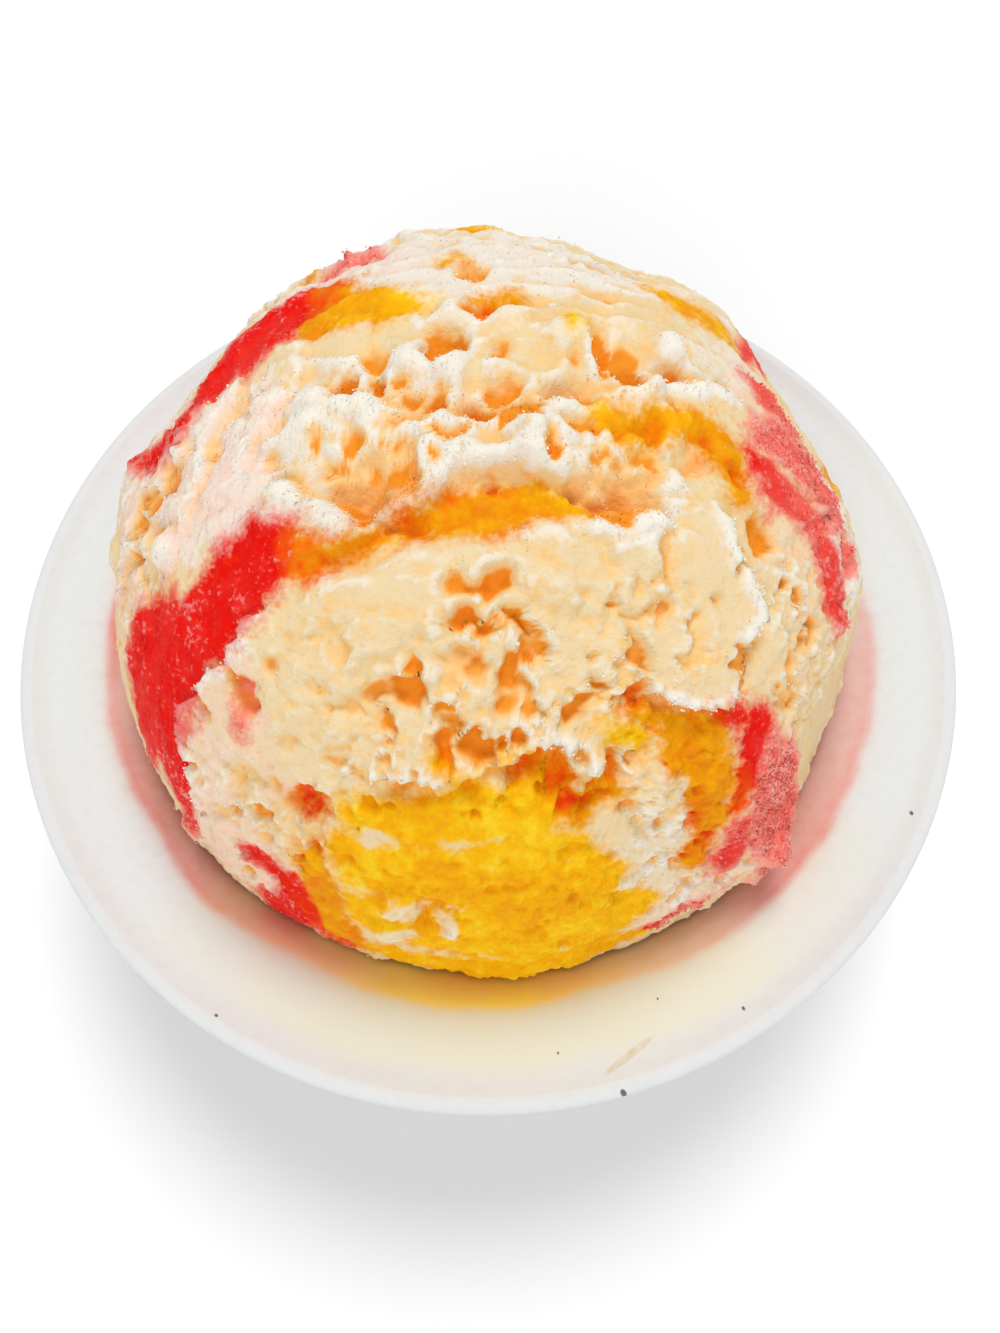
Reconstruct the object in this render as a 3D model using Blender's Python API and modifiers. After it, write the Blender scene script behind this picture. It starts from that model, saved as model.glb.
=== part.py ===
"""A ball of shaved ice in a moulded paper bowl.

The bowl is a turned shell of pressed fibre: a flat floor, a sloping wall, a soft shoulder, a wide
flat rim and a rounded bead round its edge. The ice is one packed ball. Its lower half has taken
the shape of the bowl, and its upper half is scraped into steps, lips and hollows.

Frame: the origin is the centre of the bowl's underside, +Z is up, and -Y is the front. A place on
the ice is a bearing round the ball, 0 at the front and 90 at +X, and a height above the ball's
equator, both in degrees.
"""

import math

import bmesh
import bpy
import numpy as np

# The bowl, in metres.
BOWL_RADIUS = 0.078
BOWL_HEIGHT = 0.046
WALL = 0.0012
WELL_RADIUS = 0.0625
FLOOR_RADIUS = 0.0310
BEAD_WIDTH = 0.0032
BEAD_RISE = 0.0010
SHOULDER_RISE = 0.0008
RIM_HEIGHT = BOWL_HEIGHT - BEAD_RISE

# The ball of ice, in metres.
BALL_RADIUS = 0.0596
BALL_CENTRE = (0.0, 0.0008, BOWL_HEIGHT - 0.0033)
SEAT_GAP = 0.0006

# How finely each is made. The share is how evenly the ball's points are spread, 1 for evenly.
BOWL_STEPS = 64
BALL_SUBDIVISIONS = 5
EVEN_SHARE = 0.62


# ---------------------------------------------------------------- bowl

def rounded(points, reaches, steps=4):
    """A polyline whose inner corners become quadratic curves that start `reach` away from them."""
    points = [np.array(p, float) for p in points]
    made = [points[0]]
    for before, corner, after, reach in zip(points, points[1:], points[2:], reaches):
        start = corner + (before - corner) / np.linalg.norm(before - corner) * reach
        end = corner + (after - corner) / np.linalg.norm(after - corner) * reach
        for t in np.linspace(0, 1, steps + 1):
            made.append((1 - t) ** 2 * start + 2 * t * (1 - t) * corner + t**2 * end)
    made.append(points[-1])
    return np.array(made)


def bowl_wall_line():
    """The inner face, as (radius, height), from the floor's centre to the foot of the bead."""
    return rounded(
        [
            (0, WALL),
            (FLOOR_RADIUS, WALL),
            (WELL_RADIUS, RIM_HEIGHT + SHOULDER_RISE),
            (BOWL_RADIUS - BEAD_WIDTH, RIM_HEIGHT - BEAD_RISE / 5),
        ],
        reaches=[0.004, 0.008],
    )


def bead_line():
    """The rounded edge: part of an ellipse, from the foot of the bead to the bowl's outermost."""
    middle = BOWL_RADIUS - BEAD_WIDTH / 2
    return np.array(
        [
            (middle + BEAD_WIDTH / 2 * math.cos(a), RIM_HEIGHT + BEAD_RISE * math.sin(a))
            for a in np.radians([145, 118, 90, 60, 30, 0])
        ]
    )


def offset_outwards(line, distance):
    """The line moved by `distance` to its right-hand side, which is outwards for the bowl."""
    along = np.gradient(line, axis=0)
    along /= np.linalg.norm(along, axis=1)[:, None]
    return line + distance * np.column_stack([along[:, 1], -along[:, 0]])


def bowl_profile():
    """The closed half-section: up the inner face, over the bead, and down the outer face."""
    inside = bowl_wall_line()
    under = offset_outwards(inside, WALL)
    under[0] = (0, 0)
    under[:, 1] = np.maximum(under[:, 1], 0)
    lip = (BOWL_RADIUS - BEAD_WIDTH / 8, RIM_HEIGHT - WALL * 0.8)
    return np.vstack([inside, bead_line(), [lip], under[::-1]])


def bowl(material):
    """The bowl: its half-section turned about Z."""
    mesh = bpy.data.meshes.new("bowl")
    points = [(r, 0, z) for r, z in bowl_profile()]
    mesh.from_pydata(points, [(i, i + 1) for i in range(len(points) - 1)], [])
    mesh.materials.append(material)
    obj = bpy.data.objects.new("bowl", mesh)
    screw = obj.modifiers.new("Turn", "SCREW")
    screw.axis = "Z"
    screw.steps = BOWL_STEPS
    screw.render_steps = BOWL_STEPS
    screw.use_merge_vertices = True
    screw.merge_threshold = 0.00001
    screw.use_smooth_shade = True
    return obj


# ---------------------------------------------------------------- the ice's relief

# Broad swellings and flats: bearing, height, reach in degrees, rise in millimetres.
SWELLINGS = [
    (150, 46, 12, -2.2), (134, 43, 9, 1.8), (110, 33, 16, -2.6), (92, 20, 12, 0.8),
    (62, 14, 14, -2.4), (43, 8, 8, 1.8), (0, 2, 14, 0.7), (-112, 36, 10, -1.4),
    (-96, 29, 9, 1.0), (-138, 48, 14, -0.8), (-172, 49, 9, 1.0), (-165, 20, 20, -1.2),
    (170, 5, 18, 1.4),
]

# Lips, where one scraped layer ends over the next: the step at the edge and how far behind it the
# layer sinks back, in millimetres, then places along the edge. The layer is on the path's left.
LIPS = [
    (3.2, 7, [(-4, 84.5), (-20, 84), (-45, 83), (-74, 79), (-91, 71.5), (-97, 66)]),
    (3.0, 7, [(99, 55), (98, 62), (96, 67.5), (89, 73.5), (81, 79), (66, 82), (55, 85), (5, 86)]),
    (2.6, 7, [(-34, 68), (-44, 67.2), (-52, 65.8), (-60, 65), (-68, 60)]),
    (3.2, 6, [(-37, 68.5), (-29, 72.5), (-22, 75.4), (-8, 77.6), (5, 78.4), (20, 78.2),
              (34, 75.6), (39.5, 71.5), (38.5, 68)]),
    (2.6, 7, [(54, 62), (50, 64.5), (45, 66.8), (40, 68.4), (36, 69.5)]),
    (2.2, 12, [(27, 49), (31, 47), (38, 43.5), (44, 42.5), (48, 46), (54, 48), (57, 52),
               (62, 57), (66, 60)]),
    (2.0, 10, [(-49, 55), (-51, 47), (-54, 40), (-56, 35), (-53, 30), (-49, 26), (-45, 17)]),
    (1.6, 9, [(-34, 36), (-23, 39), (-12, 42), (-3, 42.5), (4, 46), (12, 46), (20, 42)]),
    (2.0, 14, [(-136, 18), (-128, 34), (-142, 48), (-168, 56)]),
    (2.0, 14, [(112, 12), (130, 26), (152, 24), (176, 36)]),
]

# Hollows: place, half-size across and half-size front to back in millimetres, the turn of the
# first from +X in degrees, and depth in millimetres.
HOLLOWS = [
    (-98, 73, 2.4, 3.2, 0, 2.2), (-97, 80.3, 2.6, 3.0, 0, 2.2), (-80, 84, 2.2, 2.2, 0, 1.8),
    (-142, 81.8, 2.8, 3.2, 0, 2.8), (-15, 87, 3.0, 2.4, 0, 2.4), (162, 84.2, 2.2, 2.6, 0, 2.0),
    (101, 87, 2.8, 2.8, 0, 1.5), (88, 81, 2.4, 2.6, 0, 1.6), (95, 72.5, 2.4, 2.2, 0, 1.3),
    (-50, 81.5, 5.0, 1.8, 5, 1.2), (-14, 82.6, 3.2, 1.8, 0, 1.2), (18, 83.4, 3.0, 2.0, 0, 1.6),
    (-51, 73, 6.4, 5.2, 25, 1.8), (54, 71.4, 6.4, 5.4, 0, 2.2), (113, 71.2, 3.8, 5.0, 0, 3.0),
    (140, 65.2, 3.0, 1.8, -25, 1.3), (-175, 66.1, 3.0, 2.4, 0, 1.4), (150, 56, 4.4, 3.0, 0, 1.8),
    (2.6, 65.2, 2.0, 2.8, 0, 2.2), (-5, 63, 2.4, 3.2, 0, 1.8), (7.5, 59, 2.0, 3.4, 0, 2.0),
    (-3, 55.5, 3.0, 2.0, 10, 1.3), (5, 53.5, 1.8, 3.2, -10, 1.8), (-5.8, 47.5, 2.0, 3.2, 0, 1.9),
    (-0.5, 47.5, 2.2, 2.6, 0, 2.0), (15.8, 50.7, 2.6, 1.8, 40, 1.8), (21, 52.2, 2.0, 1.7, 0, 1.7),
    (27, 49.2, 1.8, 1.7, 0, 1.8), (30.7, 53, 2.0, 2.6, 0, 1.5), (46.5, 45, 2.0, 3.0, 0, 1.5),
    (8.5, 43.4, 3.2, 2.2, -20, 1.8), (16, 38.8, 3.2, 1.9, 8, 1.8), (19.8, 43, 1.7, 2.8, 10, 1.6),
    (-15.5, 52, 3.8, 1.8, 0, 1.8), (-17.2, 48.9, 1.7, 2.0, 0, 1.5), (-42, 43.3, 3.2, 2.0, -60, 2.2),
    (-27, 33.8, 4.0, 2.0, 8, 2.2), (-77, 42, 2.6, 2.4, 0, 1.8), (-70, 36.5, 2.6, 2.6, 0, 1.6),
    (-84, 38, 2.4, 2.8, 0, 1.6), (-80, 28, 2.2, 2.8, 0, 1.4), (-12, 40.6, 3.2, 1.8, -5, 1.2),
    (68, 50.5, 2.4, 3.0, 0, 1.8), (68, 68.3, 1.8, 2.8, 0, 1.6), (57, 38.5, 2.0, 3.0, 10, 1.8),
    (62, 37, 2.4, 2.6, 0, 1.9), (53, 35, 2.9, 2.6, 0, 1.2), (-45, 11, 1.8, 2.8, 0, 1.8),
    (-150, 30, 5.0, 3.4, 30, 1.6), (168, 20, 5.0, 3.6, -20, 1.6), (112, 20, 4.4, 3.4, 30, 1.6),
]

# Where the relief's outward direction tips back, so that "front to back" follows the eye's level.
BACKWARDS = np.array([0.0, 0.91, 0.42])


def direction(bearing, height):
    """The unit vector from the ball's centre towards a bearing and a height."""
    b, h = np.radians(bearing), np.radians(height)
    return np.stack([np.sin(b) * np.cos(h), -np.cos(b) * np.cos(h), np.sin(h)], -1)


def smooth(t):
    """0 below 0, 1 above 1, and a smooth rise between."""
    t = np.clip(t, 0, 1)
    return t * t * (3 - 2 * t)


def corner_value(cells, seed):
    """A repeatable number from -1 to 1 for each whole-number cell, by hashing its three numbers."""
    x, y, z = cells.astype(np.int64).T
    mixed = (x * 73856093) ^ (y * 19349663) ^ (z * 83492791) ^ (seed * 15485863)
    mixed = ((mixed ^ (mixed >> 13)) * 1274126177) & 0xFFFFFFFF
    return ((mixed ^ (mixed >> 16)) & 0xFFFF) / 32767.5 - 1


def noise(points, size, seed):
    """Value noise: the corner values of cubes of this size, blended smoothly between corners."""
    low = np.floor(points / size)
    t = smooth(points / size - low)
    total = np.zeros(len(points))
    for corner in np.ndindex(2, 2, 2):
        weight = np.prod(np.where(corner, t, 1 - t), axis=1)
        total += weight * corner_value(low + corner, seed)
    return total


def swellings(directions):
    """The broad bumps: each is a bell over the angle from its middle."""
    total = np.zeros(len(directions))
    for bearing, height, reach, rise in SWELLINGS:
        away = np.degrees(np.arccos(np.clip(directions @ direction(bearing, height), -1, 1)))
        total += rise * np.exp(-((away / reach) ** 2))
    return total


def beside_path(places, path):
    """For each place, its distance from a path on the ball, positive on the left, and a weight
    that falls from 1 along the path to 0 at its two ends."""
    points = direction(*np.array(path, float).T) * BALL_RADIUS * 1000
    nearest = np.full(len(places), np.inf)
    side, share = np.ones(len(places)), np.zeros(len(places))
    for i, (start, end) in enumerate(zip(points, points[1:])):
        step = end - start
        t = np.clip((places - start) @ step / (step @ step), 0, 1)
        away = places - start - t[:, None] * step
        distance = np.linalg.norm(away, axis=1)
        left = np.cross((start + end) / 2, step)
        closer = distance < nearest
        nearest = np.where(closer, distance, nearest)
        side = np.where(closer, np.where(away @ left < 0, -1, 1), side)
        share = np.where(closer, (i + t) / (len(points) - 1), share)
    return nearest * side, smooth(5 * np.minimum(share, 1 - share) + 0.1)


def lips(places):
    """Each lip rises at its ragged edge, sinks back behind it, and is dug in a little before it."""
    ragged = 1.3 * noise(places, 6, 11)
    total = np.zeros(len(places))
    for step, reach, path in LIPS:
        away, along = beside_path(places, path)
        away = away + ragged
        edge = smooth(away / 2.8 + 0.5)
        raised = 0.75 * edge * np.exp(-np.maximum(away, 0) / reach)
        dug = 0.4 * (1 - edge) * np.exp(np.minimum(away, 0) / (reach / 3))
        total += step * along * (raised - dug)
    return total


def hollows(directions, places):
    """Each hollow is an oval dish with steep sides and an uneven edge."""
    ragged = 0.25 * noise(places, 5, 21)
    total = np.zeros(len(directions))
    for bearing, height, across, deep, turn, depth in HOLLOWS:
        centre = direction(bearing, height)
        back = BACKWARDS - BACKWARDS @ centre * centre
        back /= np.linalg.norm(back)
        x, y = places @ np.cross(back, centre), places @ back
        c, s = math.cos(math.radians(turn)), math.sin(math.radians(turn))
        away = np.hypot((x * c + y * s) / across, (y * c - x * s) / deep) + ragged
        total -= depth * smooth(1.3 - 0.9 * away) * (directions @ centre > 0)
    return total


def relief(directions):
    """How far the ice stands above the plain ball, in millimetres."""
    places = directions * BALL_RADIUS * 1000
    uneven = 0.6 * noise(places, 14, 1) + 0.35 * noise(places, 7, 2)
    return swellings(directions) + lips(places) + hollows(directions, places) + uneven


# ---------------------------------------------------------------- ice

def crowded_upwards(directions):
    """Moves directions up the sphere, so that more of them lie on the part above the bowl."""
    area_above = (1 - directions[:, 2]) / 2
    moved = EVEN_SHARE * area_above + (1 - EVEN_SHARE) * area_above**5.5
    z = 1 - 2 * moved
    flat = np.maximum(np.hypot(directions[:, 0], directions[:, 1]), 1e-9)
    radius = np.sqrt(np.maximum(1 - z * z, 0))
    return np.column_stack([directions[:, :2] * (radius / flat)[:, None], z])


def seated(points):
    """Draws points in until they lie clear of the bowl's inner face and floor."""
    wall = bowl_wall_line()[1:]
    wall = wall[: np.argmax(wall[:, 1]) + 1]
    points[:, 2] = np.maximum(points[:, 2], WALL + SEAT_GAP)
    room = np.interp(points[:, 2] - SEAT_GAP, wall[:, 1], wall[:, 0], right=BOWL_RADIUS) - SEAT_GAP
    radius = np.maximum(np.hypot(points[:, 0], points[:, 1]), 1e-9)
    points[:, :2] *= np.minimum(1, room / radius)[:, None]
    return points


def ice_points(directions):
    """The ice's surface along each direction: the ball and its relief, held by the bowl."""
    bare = smooth((directions[:, 2] + 0.10) / 0.14)
    reach = BALL_RADIUS + 0.001 * relief(directions) * bare
    return seated(np.array(BALL_CENTRE) + directions * reach[:, None])


def ice(material):
    """The packed ball: a sphere whose points are moved out to the ice's surface."""
    bm = bmesh.new()
    bmesh.ops.create_icosphere(bm, subdivisions=BALL_SUBDIVISIONS, radius=1)
    directions = crowded_upwards(np.array([vert.co for vert in bm.verts]))
    for vert, point in zip(bm.verts, ice_points(directions)):
        vert.co = point
    mesh = bpy.data.meshes.new("ice")
    bm.to_mesh(mesh)
    bm.free()
    mesh.shade_smooth()
    mesh.materials.append(material)
    return bpy.data.objects.new("ice", mesh)


# ---------------------------------------------------------------- scene

def surface(name, colour, roughness):
    """A plain Principled BSDF of one colour."""
    made = bpy.data.materials.new(name)
    made.use_nodes = True
    shader = made.node_tree.nodes["Principled BSDF"]
    shader.inputs["Base Color"].default_value = (*colour, 1)
    shader.inputs["Roughness"].default_value = roughness
    return made


def main():
    for obj in list(bpy.data.objects):
        bpy.data.objects.remove(obj, do_unlink=True)
    dessert = bpy.data.collections.new("shaved_ice_dessert")
    bpy.context.scene.collection.children.link(dessert)
    dessert.objects.link(bowl(surface("pressed_fibre", (0.86, 0.86, 0.82), 0.8)))
    dessert.objects.link(ice(surface("cream_ice", (0.88, 0.70, 0.47), 0.6)))


main()
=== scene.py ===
import bpy
import numpy as np
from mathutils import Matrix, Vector


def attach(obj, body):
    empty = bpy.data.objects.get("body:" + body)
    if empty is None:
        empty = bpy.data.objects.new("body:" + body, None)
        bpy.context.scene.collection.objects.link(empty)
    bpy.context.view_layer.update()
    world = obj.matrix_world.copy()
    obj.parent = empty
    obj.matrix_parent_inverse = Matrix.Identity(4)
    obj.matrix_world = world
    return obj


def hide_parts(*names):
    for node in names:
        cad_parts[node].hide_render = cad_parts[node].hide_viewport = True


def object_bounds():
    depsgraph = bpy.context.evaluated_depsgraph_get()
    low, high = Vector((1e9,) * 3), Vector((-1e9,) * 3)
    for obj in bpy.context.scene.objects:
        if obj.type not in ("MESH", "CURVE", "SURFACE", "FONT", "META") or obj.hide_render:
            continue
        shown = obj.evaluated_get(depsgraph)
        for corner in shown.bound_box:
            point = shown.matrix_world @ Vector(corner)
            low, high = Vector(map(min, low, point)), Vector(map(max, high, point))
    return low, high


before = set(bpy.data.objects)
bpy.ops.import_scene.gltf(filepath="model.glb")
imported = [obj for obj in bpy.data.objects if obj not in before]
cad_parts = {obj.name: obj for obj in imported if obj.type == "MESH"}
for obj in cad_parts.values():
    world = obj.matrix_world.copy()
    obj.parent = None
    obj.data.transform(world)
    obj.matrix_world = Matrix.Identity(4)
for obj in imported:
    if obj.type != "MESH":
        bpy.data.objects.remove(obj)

cad_low, cad_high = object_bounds()
MM = 0.001

# ------------------------------------------------------------------ the bowl
# A shallow bowl moulded from wet plant fibre and dried: off-white, matt, 1.2 mm thick, with a
# soft shoulder, a wide flat rim and a rounded bead. Syrup has soaked into it round the ice.

BOWL_RADIUS = 78.0
BOWL_HEIGHT = 46.0
WALL = 1.2
WELL_RADIUS = 62.5
FLOOR_RADIUS = 31.0
BEAD_WIDTH = 3.2
BEAD_RISE = 1.0
BEAD_FILLET = 1.6
SHOULDER_RISE = 0.8
RIM_HEIGHT = BOWL_HEIGHT - BEAD_RISE
RIM_FALL = 0.2
STAIN_RADIUS = 64.7
CREAMY_BEARING = 4
CREAMY_RADIUS = 75
BOWL_TURNS = 288

PAPER = (0.725, 0.74, 0.74)
PAPER_CREAM = (0.765, 0.74, 0.585)
STAIN_RED = (0.75, 0.15, 0.11)
STAIN_PINK = (0.76, 0.30, 0.25)
STAIN_ORANGE = (0.98, 0.50, 0.10)
STAIN_YELLOW = (1.0, 0.70, 0.05)
SPECK_BROWN = (0.10, 0.075, 0.05)
SMEAR_TAN = (0.62, 0.50, 0.27)


def smooth(t):
    """0 below 0, 1 above 1, and a smooth rise between."""
    t = np.clip(t, 0, 1)
    return t * t * (3 - 2 * t)


def corner_value(cells, seed):
    """A repeatable number from -1 to 1 for each whole-number cell, by hashing its three numbers."""
    x, y, z = cells.astype(np.int64).T
    mixed = (x * 73856093) ^ (y * 19349663) ^ (z * 83492791) ^ (seed * 15485863)
    mixed = ((mixed ^ (mixed >> 13)) * 1274126177) & 0xFFFFFFFF
    return ((mixed ^ (mixed >> 16)) & 0xFFFF) / 32767.5 - 1


ASKEW = np.array([(0.36, 0.48, -0.80), (-0.80, 0.60, 0.0), (0.48, 0.64, 0.60)])


def noise(points, size, seed):
    """Value noise: the corner values of cubes of this size, blended smoothly between corners. The
    cubes stand askew, so that no row of them shows."""
    placed = points @ ASKEW / size + 0.37 * seed
    low = np.floor(placed)
    t = smooth(placed - low)
    total = np.zeros(len(points))
    for corner in np.ndindex(2, 2, 2):
        weight = np.prod(np.where(corner, t, 1 - t), axis=1)
        total += weight * corner_value(low + corner, seed)
    return total


def rough(points, size, seed, octaves):
    """Noise of several sizes added up, each half as large and 0.55 times as strong as the last."""
    return sum(0.55**k * noise(points, size / 2**k, seed + k) for k in range(octaves))


def rounded(points, reaches, steps):
    """A polyline whose inner corners become quadratic curves, each from `reach` before its corner
    to `reach` after it: (1 - t)^2 start + 2 t (1 - t) corner + t^2 end."""
    points = [np.array(p, float) for p in points]
    made = [points[0]]
    for before, corner, after, reach in zip(points, points[1:], points[2:], reaches):
        start = corner + (before - corner) / np.linalg.norm(before - corner) * reach
        end = corner + (after - corner) / np.linalg.norm(after - corner) * reach
        for t in np.linspace(0, 1, steps + 1):
            made.append((1 - t) ** 2 * start + 2 * t * (1 - t) * corner + t**2 * end)
    made.append(points[-1])
    return np.array(made)


def evenly(line, spacing):
    """The polyline resampled at equal steps along its length."""
    run = np.r_[0, np.cumsum(np.linalg.norm(np.diff(line, axis=0), axis=1))]
    at = np.linspace(0, run[-1], int(run[-1] / spacing) + 2)
    return np.column_stack([np.interp(at, run, line[:, k]) for k in range(2)])


def bowl_wall_line():
    """The inner face, as (radius, height): from the floor's centre up the wall, over the shoulder,
    across the rim, which falls a little, and up the bead's flank to where its arc begins."""
    return rounded(
        [
            (0, WALL),
            (FLOOR_RADIUS, WALL),
            (WELL_RADIUS, RIM_HEIGHT + SHOULDER_RISE),
            (BOWL_RADIUS - BEAD_WIDTH - BEAD_FILLET, RIM_HEIGHT - RIM_FALL),
            (BOWL_RADIUS - BEAD_WIDTH + 0.9, RIM_HEIGHT + 0.88 * BEAD_RISE),
        ],
        reaches=[4, 8, 1.5],
        steps=12,
    )


def bowl_profile():
    """The half-section in two runs of (radius, height): the inner face and the bead's arc, then
    the outside, which is the inner face moved out by the wall, back to the foot's centre."""
    inside = bowl_wall_line()
    middle = BOWL_RADIUS - BEAD_WIDTH / 2
    turn = np.radians(np.linspace(112, -40, 20))
    bead = np.column_stack(
        [middle + BEAD_WIDTH / 2 * np.cos(turn), RIM_HEIGHT + BEAD_RISE * np.sin(turn)]
    )
    along = np.gradient(inside, axis=0)
    along /= np.linalg.norm(along, axis=1)[:, None]
    under = inside + WALL * np.column_stack([along[:, 1], -along[:, 0]])
    under[0] = (0, 0)
    under[:, 1] = np.maximum(under[:, 1], 0)
    upper = np.vstack([evenly(inside, 0.8), bead])
    return upper, evenly(under[::-1], 2.0)


def turned_points(profile, turns):
    """Every profile point carried round the axis: x = r sin(a), y = -r cos(a), one row a point."""
    bearing = np.linspace(0, 2 * np.pi, turns, endpoint=False)
    r, z = profile[:, :1], profile[:, 1:]
    return np.stack([r * np.sin(bearing), -r * np.cos(bearing), z + 0 * bearing], -1)


def ring_faces(rings, turns, start=0):
    """Quads between neighbouring rings of `turns` points, the last point joining the first."""
    row, col = np.meshgrid(np.arange(rings - 1), np.arange(turns), indexing="ij")
    here, after = row * turns + col, row * turns + (col + 1) % turns
    return start + np.stack([here, here + turns, after + turns, after], -1).reshape(-1, 4)


def piece(name, points, faces, attributes=None):
    """A smooth mesh object from points in millimetres, with one value or colour a point."""
    mesh = bpy.data.meshes.new(name)
    mesh.from_pydata((points * MM).tolist(), [], [f.tolist() for f in faces])
    mesh.shade_smooth()
    for key, values in (attributes or {}).items():
        if values.ndim == 1:
            layer = mesh.attributes.new(key, "FLOAT", "POINT")
            layer.data.foreach_set("value", values.astype(np.float32))
        else:
            layer = mesh.attributes.new(key, "FLOAT_COLOR", "POINT")
            rgba = np.column_stack([values, np.ones(len(values))])
            layer.data.foreach_set("color", rgba.astype(np.float32).ravel())
    mesh.update()
    made = bpy.data.objects.new(name, mesh)
    bpy.context.scene.collection.objects.link(made)
    return made


class Value:
    """A number that changes over a surface. Arithmetic on it adds Math nodes."""

    def __init__(self, finish, socket):
        self.finish, self.socket = finish, socket

    def maths(self, operation, *numbers):
        """The result of a Math node on values or plain numbers."""
        inputs = dict(enumerate(numbers))
        return self.finish.node("ShaderNodeMath", {"operation": operation}, inputs)

    def __add__(self, other):
        return self.maths("ADD", self, other)

    def __sub__(self, other):
        return self.maths("SUBTRACT", self, other)

    def __rsub__(self, other):
        return self.maths("SUBTRACT", other, self)

    def __mul__(self, other):
        return self.maths("MULTIPLY", self, other)

    __radd__, __rmul__ = __add__, __mul__

    def step(self, low, high):
        """0 where the value is below low, 1 above high, and smooth between."""
        settings = {"interpolation_type": "SMOOTHSTEP"}
        inputs = {"Value": self, "From Min": low, "From Max": high}
        return self.finish.node("ShaderNodeMapRange", settings, inputs)


class Finish:
    """A material being made: its tree, and a method that adds any node to it."""

    def __init__(self, name, **constants):
        self.material = bpy.data.materials.new(name)
        self.material.use_nodes = True
        self.tree = self.material.node_tree
        self.shader = self.tree.nodes["Principled BSDF"]
        for socket, value in constants.items():
            self.shader.inputs[socket.replace("_", " ")].default_value = value
        self.place = self.node("ShaderNodeTexCoord", output="Object")

    def node(self, kind, settings=None, inputs=None, output=0):
        """Adds a node, sets its settings and the values or links of its sockets, and gives back
        one of its outputs. A ramp's stops are pairs of a position and a colour."""
        made = self.tree.nodes.new(kind)
        for key, value in (settings or {}).items():
            if key == "stops":
                ramp = made.color_ramp
                while len(ramp.elements) < len(value):
                    ramp.elements.new(1)
                for element, (position, colour) in zip(ramp.elements, value):
                    element.position = position
                    element.color = (*colour, 1)
            else:
                setattr(made, key, value)
        for key, value in (inputs or {}).items():
            if isinstance(value, Value):
                self.tree.links.new(value.socket, made.inputs[key])
            else:
                socket = made.inputs[key]
                is_colour = isinstance(value, tuple) and socket.type == "RGBA"
                socket.default_value = (*value, 1) if is_colour else value
        return Value(self, made.outputs[output])

    def attribute(self, name, output="Fac"):
        """What the mesh holds under this name: a number, or with output "Color" a colour."""
        return self.node("ShaderNodeAttribute", {"attribute_name": name}, output=output)

    def speckle(self, size_mm, detail):
        """Noise from about 0.2 to 0.8 whose blobs are about this size."""
        inputs = {"Vector": self.place, "Scale": 1 / (2 * size_mm * MM), "Detail": detail}
        return self.node("ShaderNodeTexNoise", inputs=inputs)

    def spot(self, x, y, half_along, half_across, turn=0.0):
        """1 inside an upright oval round (x, y), in millimetres, turned by so many degrees."""
        inputs = {
            "Vector": self.place, "Location": (x * MM, y * MM, 0),
            "Rotation": (0, 0, np.radians(turn)), "Scale": (half_along * MM, half_across * MM, 1),
        }
        moved = self.node("ShaderNodeMapping", {"vector_type": "TEXTURE"}, inputs)
        away = self.node("ShaderNodeVectorMath", {"operation": "LENGTH"}, {0: moved}, output=1)
        return (1 - away * 0.5).step(0.38, 0.62)

    def mix(self, below, above, amount):
        """The colour `above` laid over `below` by `amount`."""
        settings = {"data_type": "RGBA"}
        inputs = {0: amount, 6: below, 7: above}
        return self.node("ShaderNodeMix", settings, inputs, output=2)

    def done(self, colour, roughness, height=None):
        """Gives the surface its colour, its roughness and a fine relief, which is a height in
        millimetres."""
        self.tree.links.new(colour.socket, self.shader.inputs["Base Color"])
        if isinstance(roughness, Value):
            self.tree.links.new(roughness.socket, self.shader.inputs["Roughness"])
        else:
            self.shader.inputs["Roughness"].default_value = roughness
        if height is not None:
            normal = self.node("ShaderNodeBump", inputs={"Height": height, "Distance": MM})
            self.tree.links.new(normal.socket, self.shader.inputs["Normal"])
        return self.material


# The stain: bearing round the bowl, then how strong it is there, and its colour.
STAIN_STOPS = [
    (-180, 0.0, STAIN_PINK), (-112, 0.0, STAIN_PINK), (-98, 0.55, STAIN_RED),
    (-86, 0.8, STAIN_RED), (-74, 0.7, STAIN_PINK), (-62, 0.7, STAIN_RED),
    (-44, 0.7, STAIN_RED), (-26, 0.6, STAIN_ORANGE), (-12, 0.8, STAIN_YELLOW),
    (8, 0.9, STAIN_YELLOW), (22, 0.55, STAIN_ORANGE), (36, 0.6, STAIN_RED),
    (52, 0.7, STAIN_RED), (68, 0.7, STAIN_PINK), (92, 0.6, STAIN_PINK),
    (108, 0.0, STAIN_PINK), (180, 0.0, STAIN_PINK),
]

# Dark specks pressed into the rim: place, half-width in millimetres, and turn in degrees.
SPECKS = [
    (18.8, -75.2, 0.38, 40), (65.4, -35.7, 0.26, 0), (36.5, -64.2, 0.22, 20),
    (10.0, -70.1, 0.14, 0), (24.4, -62.9, 0.13, 0), (-38.1, -65.2, 0.2, 60),
]


def bowl_points():
    """The turned bowl, its rim lowered and drawn in unevenly by up to a few tenths of a
    millimetre as drying fibre does; how many rings it has; and 1 for each point of its topside."""
    upper, under = bowl_profile()
    profile = np.vstack([upper, under])
    points = turned_points(profile[1:-1], BOWL_TURNS).reshape(-1, 3)
    topside = (np.arange(len(points) + 2) < len(upper) * BOWL_TURNS) * 1.0
    around = points * (1, 1, 0)
    outer = smooth((np.hypot(*points.T[:2]) - 60) / 15)
    points[:, 2] -= 0.2 * outer * (1 + rough(around, 40, 3, 2) / 1.6)
    points[:, :2] *= (1 - 0.001 * outer * (1 + noise(around, 35, 9)))[:, None]
    return np.vstack([[(0, 0, WALL)], points, [(0, 0, 0)]]), len(profile) - 2, topside


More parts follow.
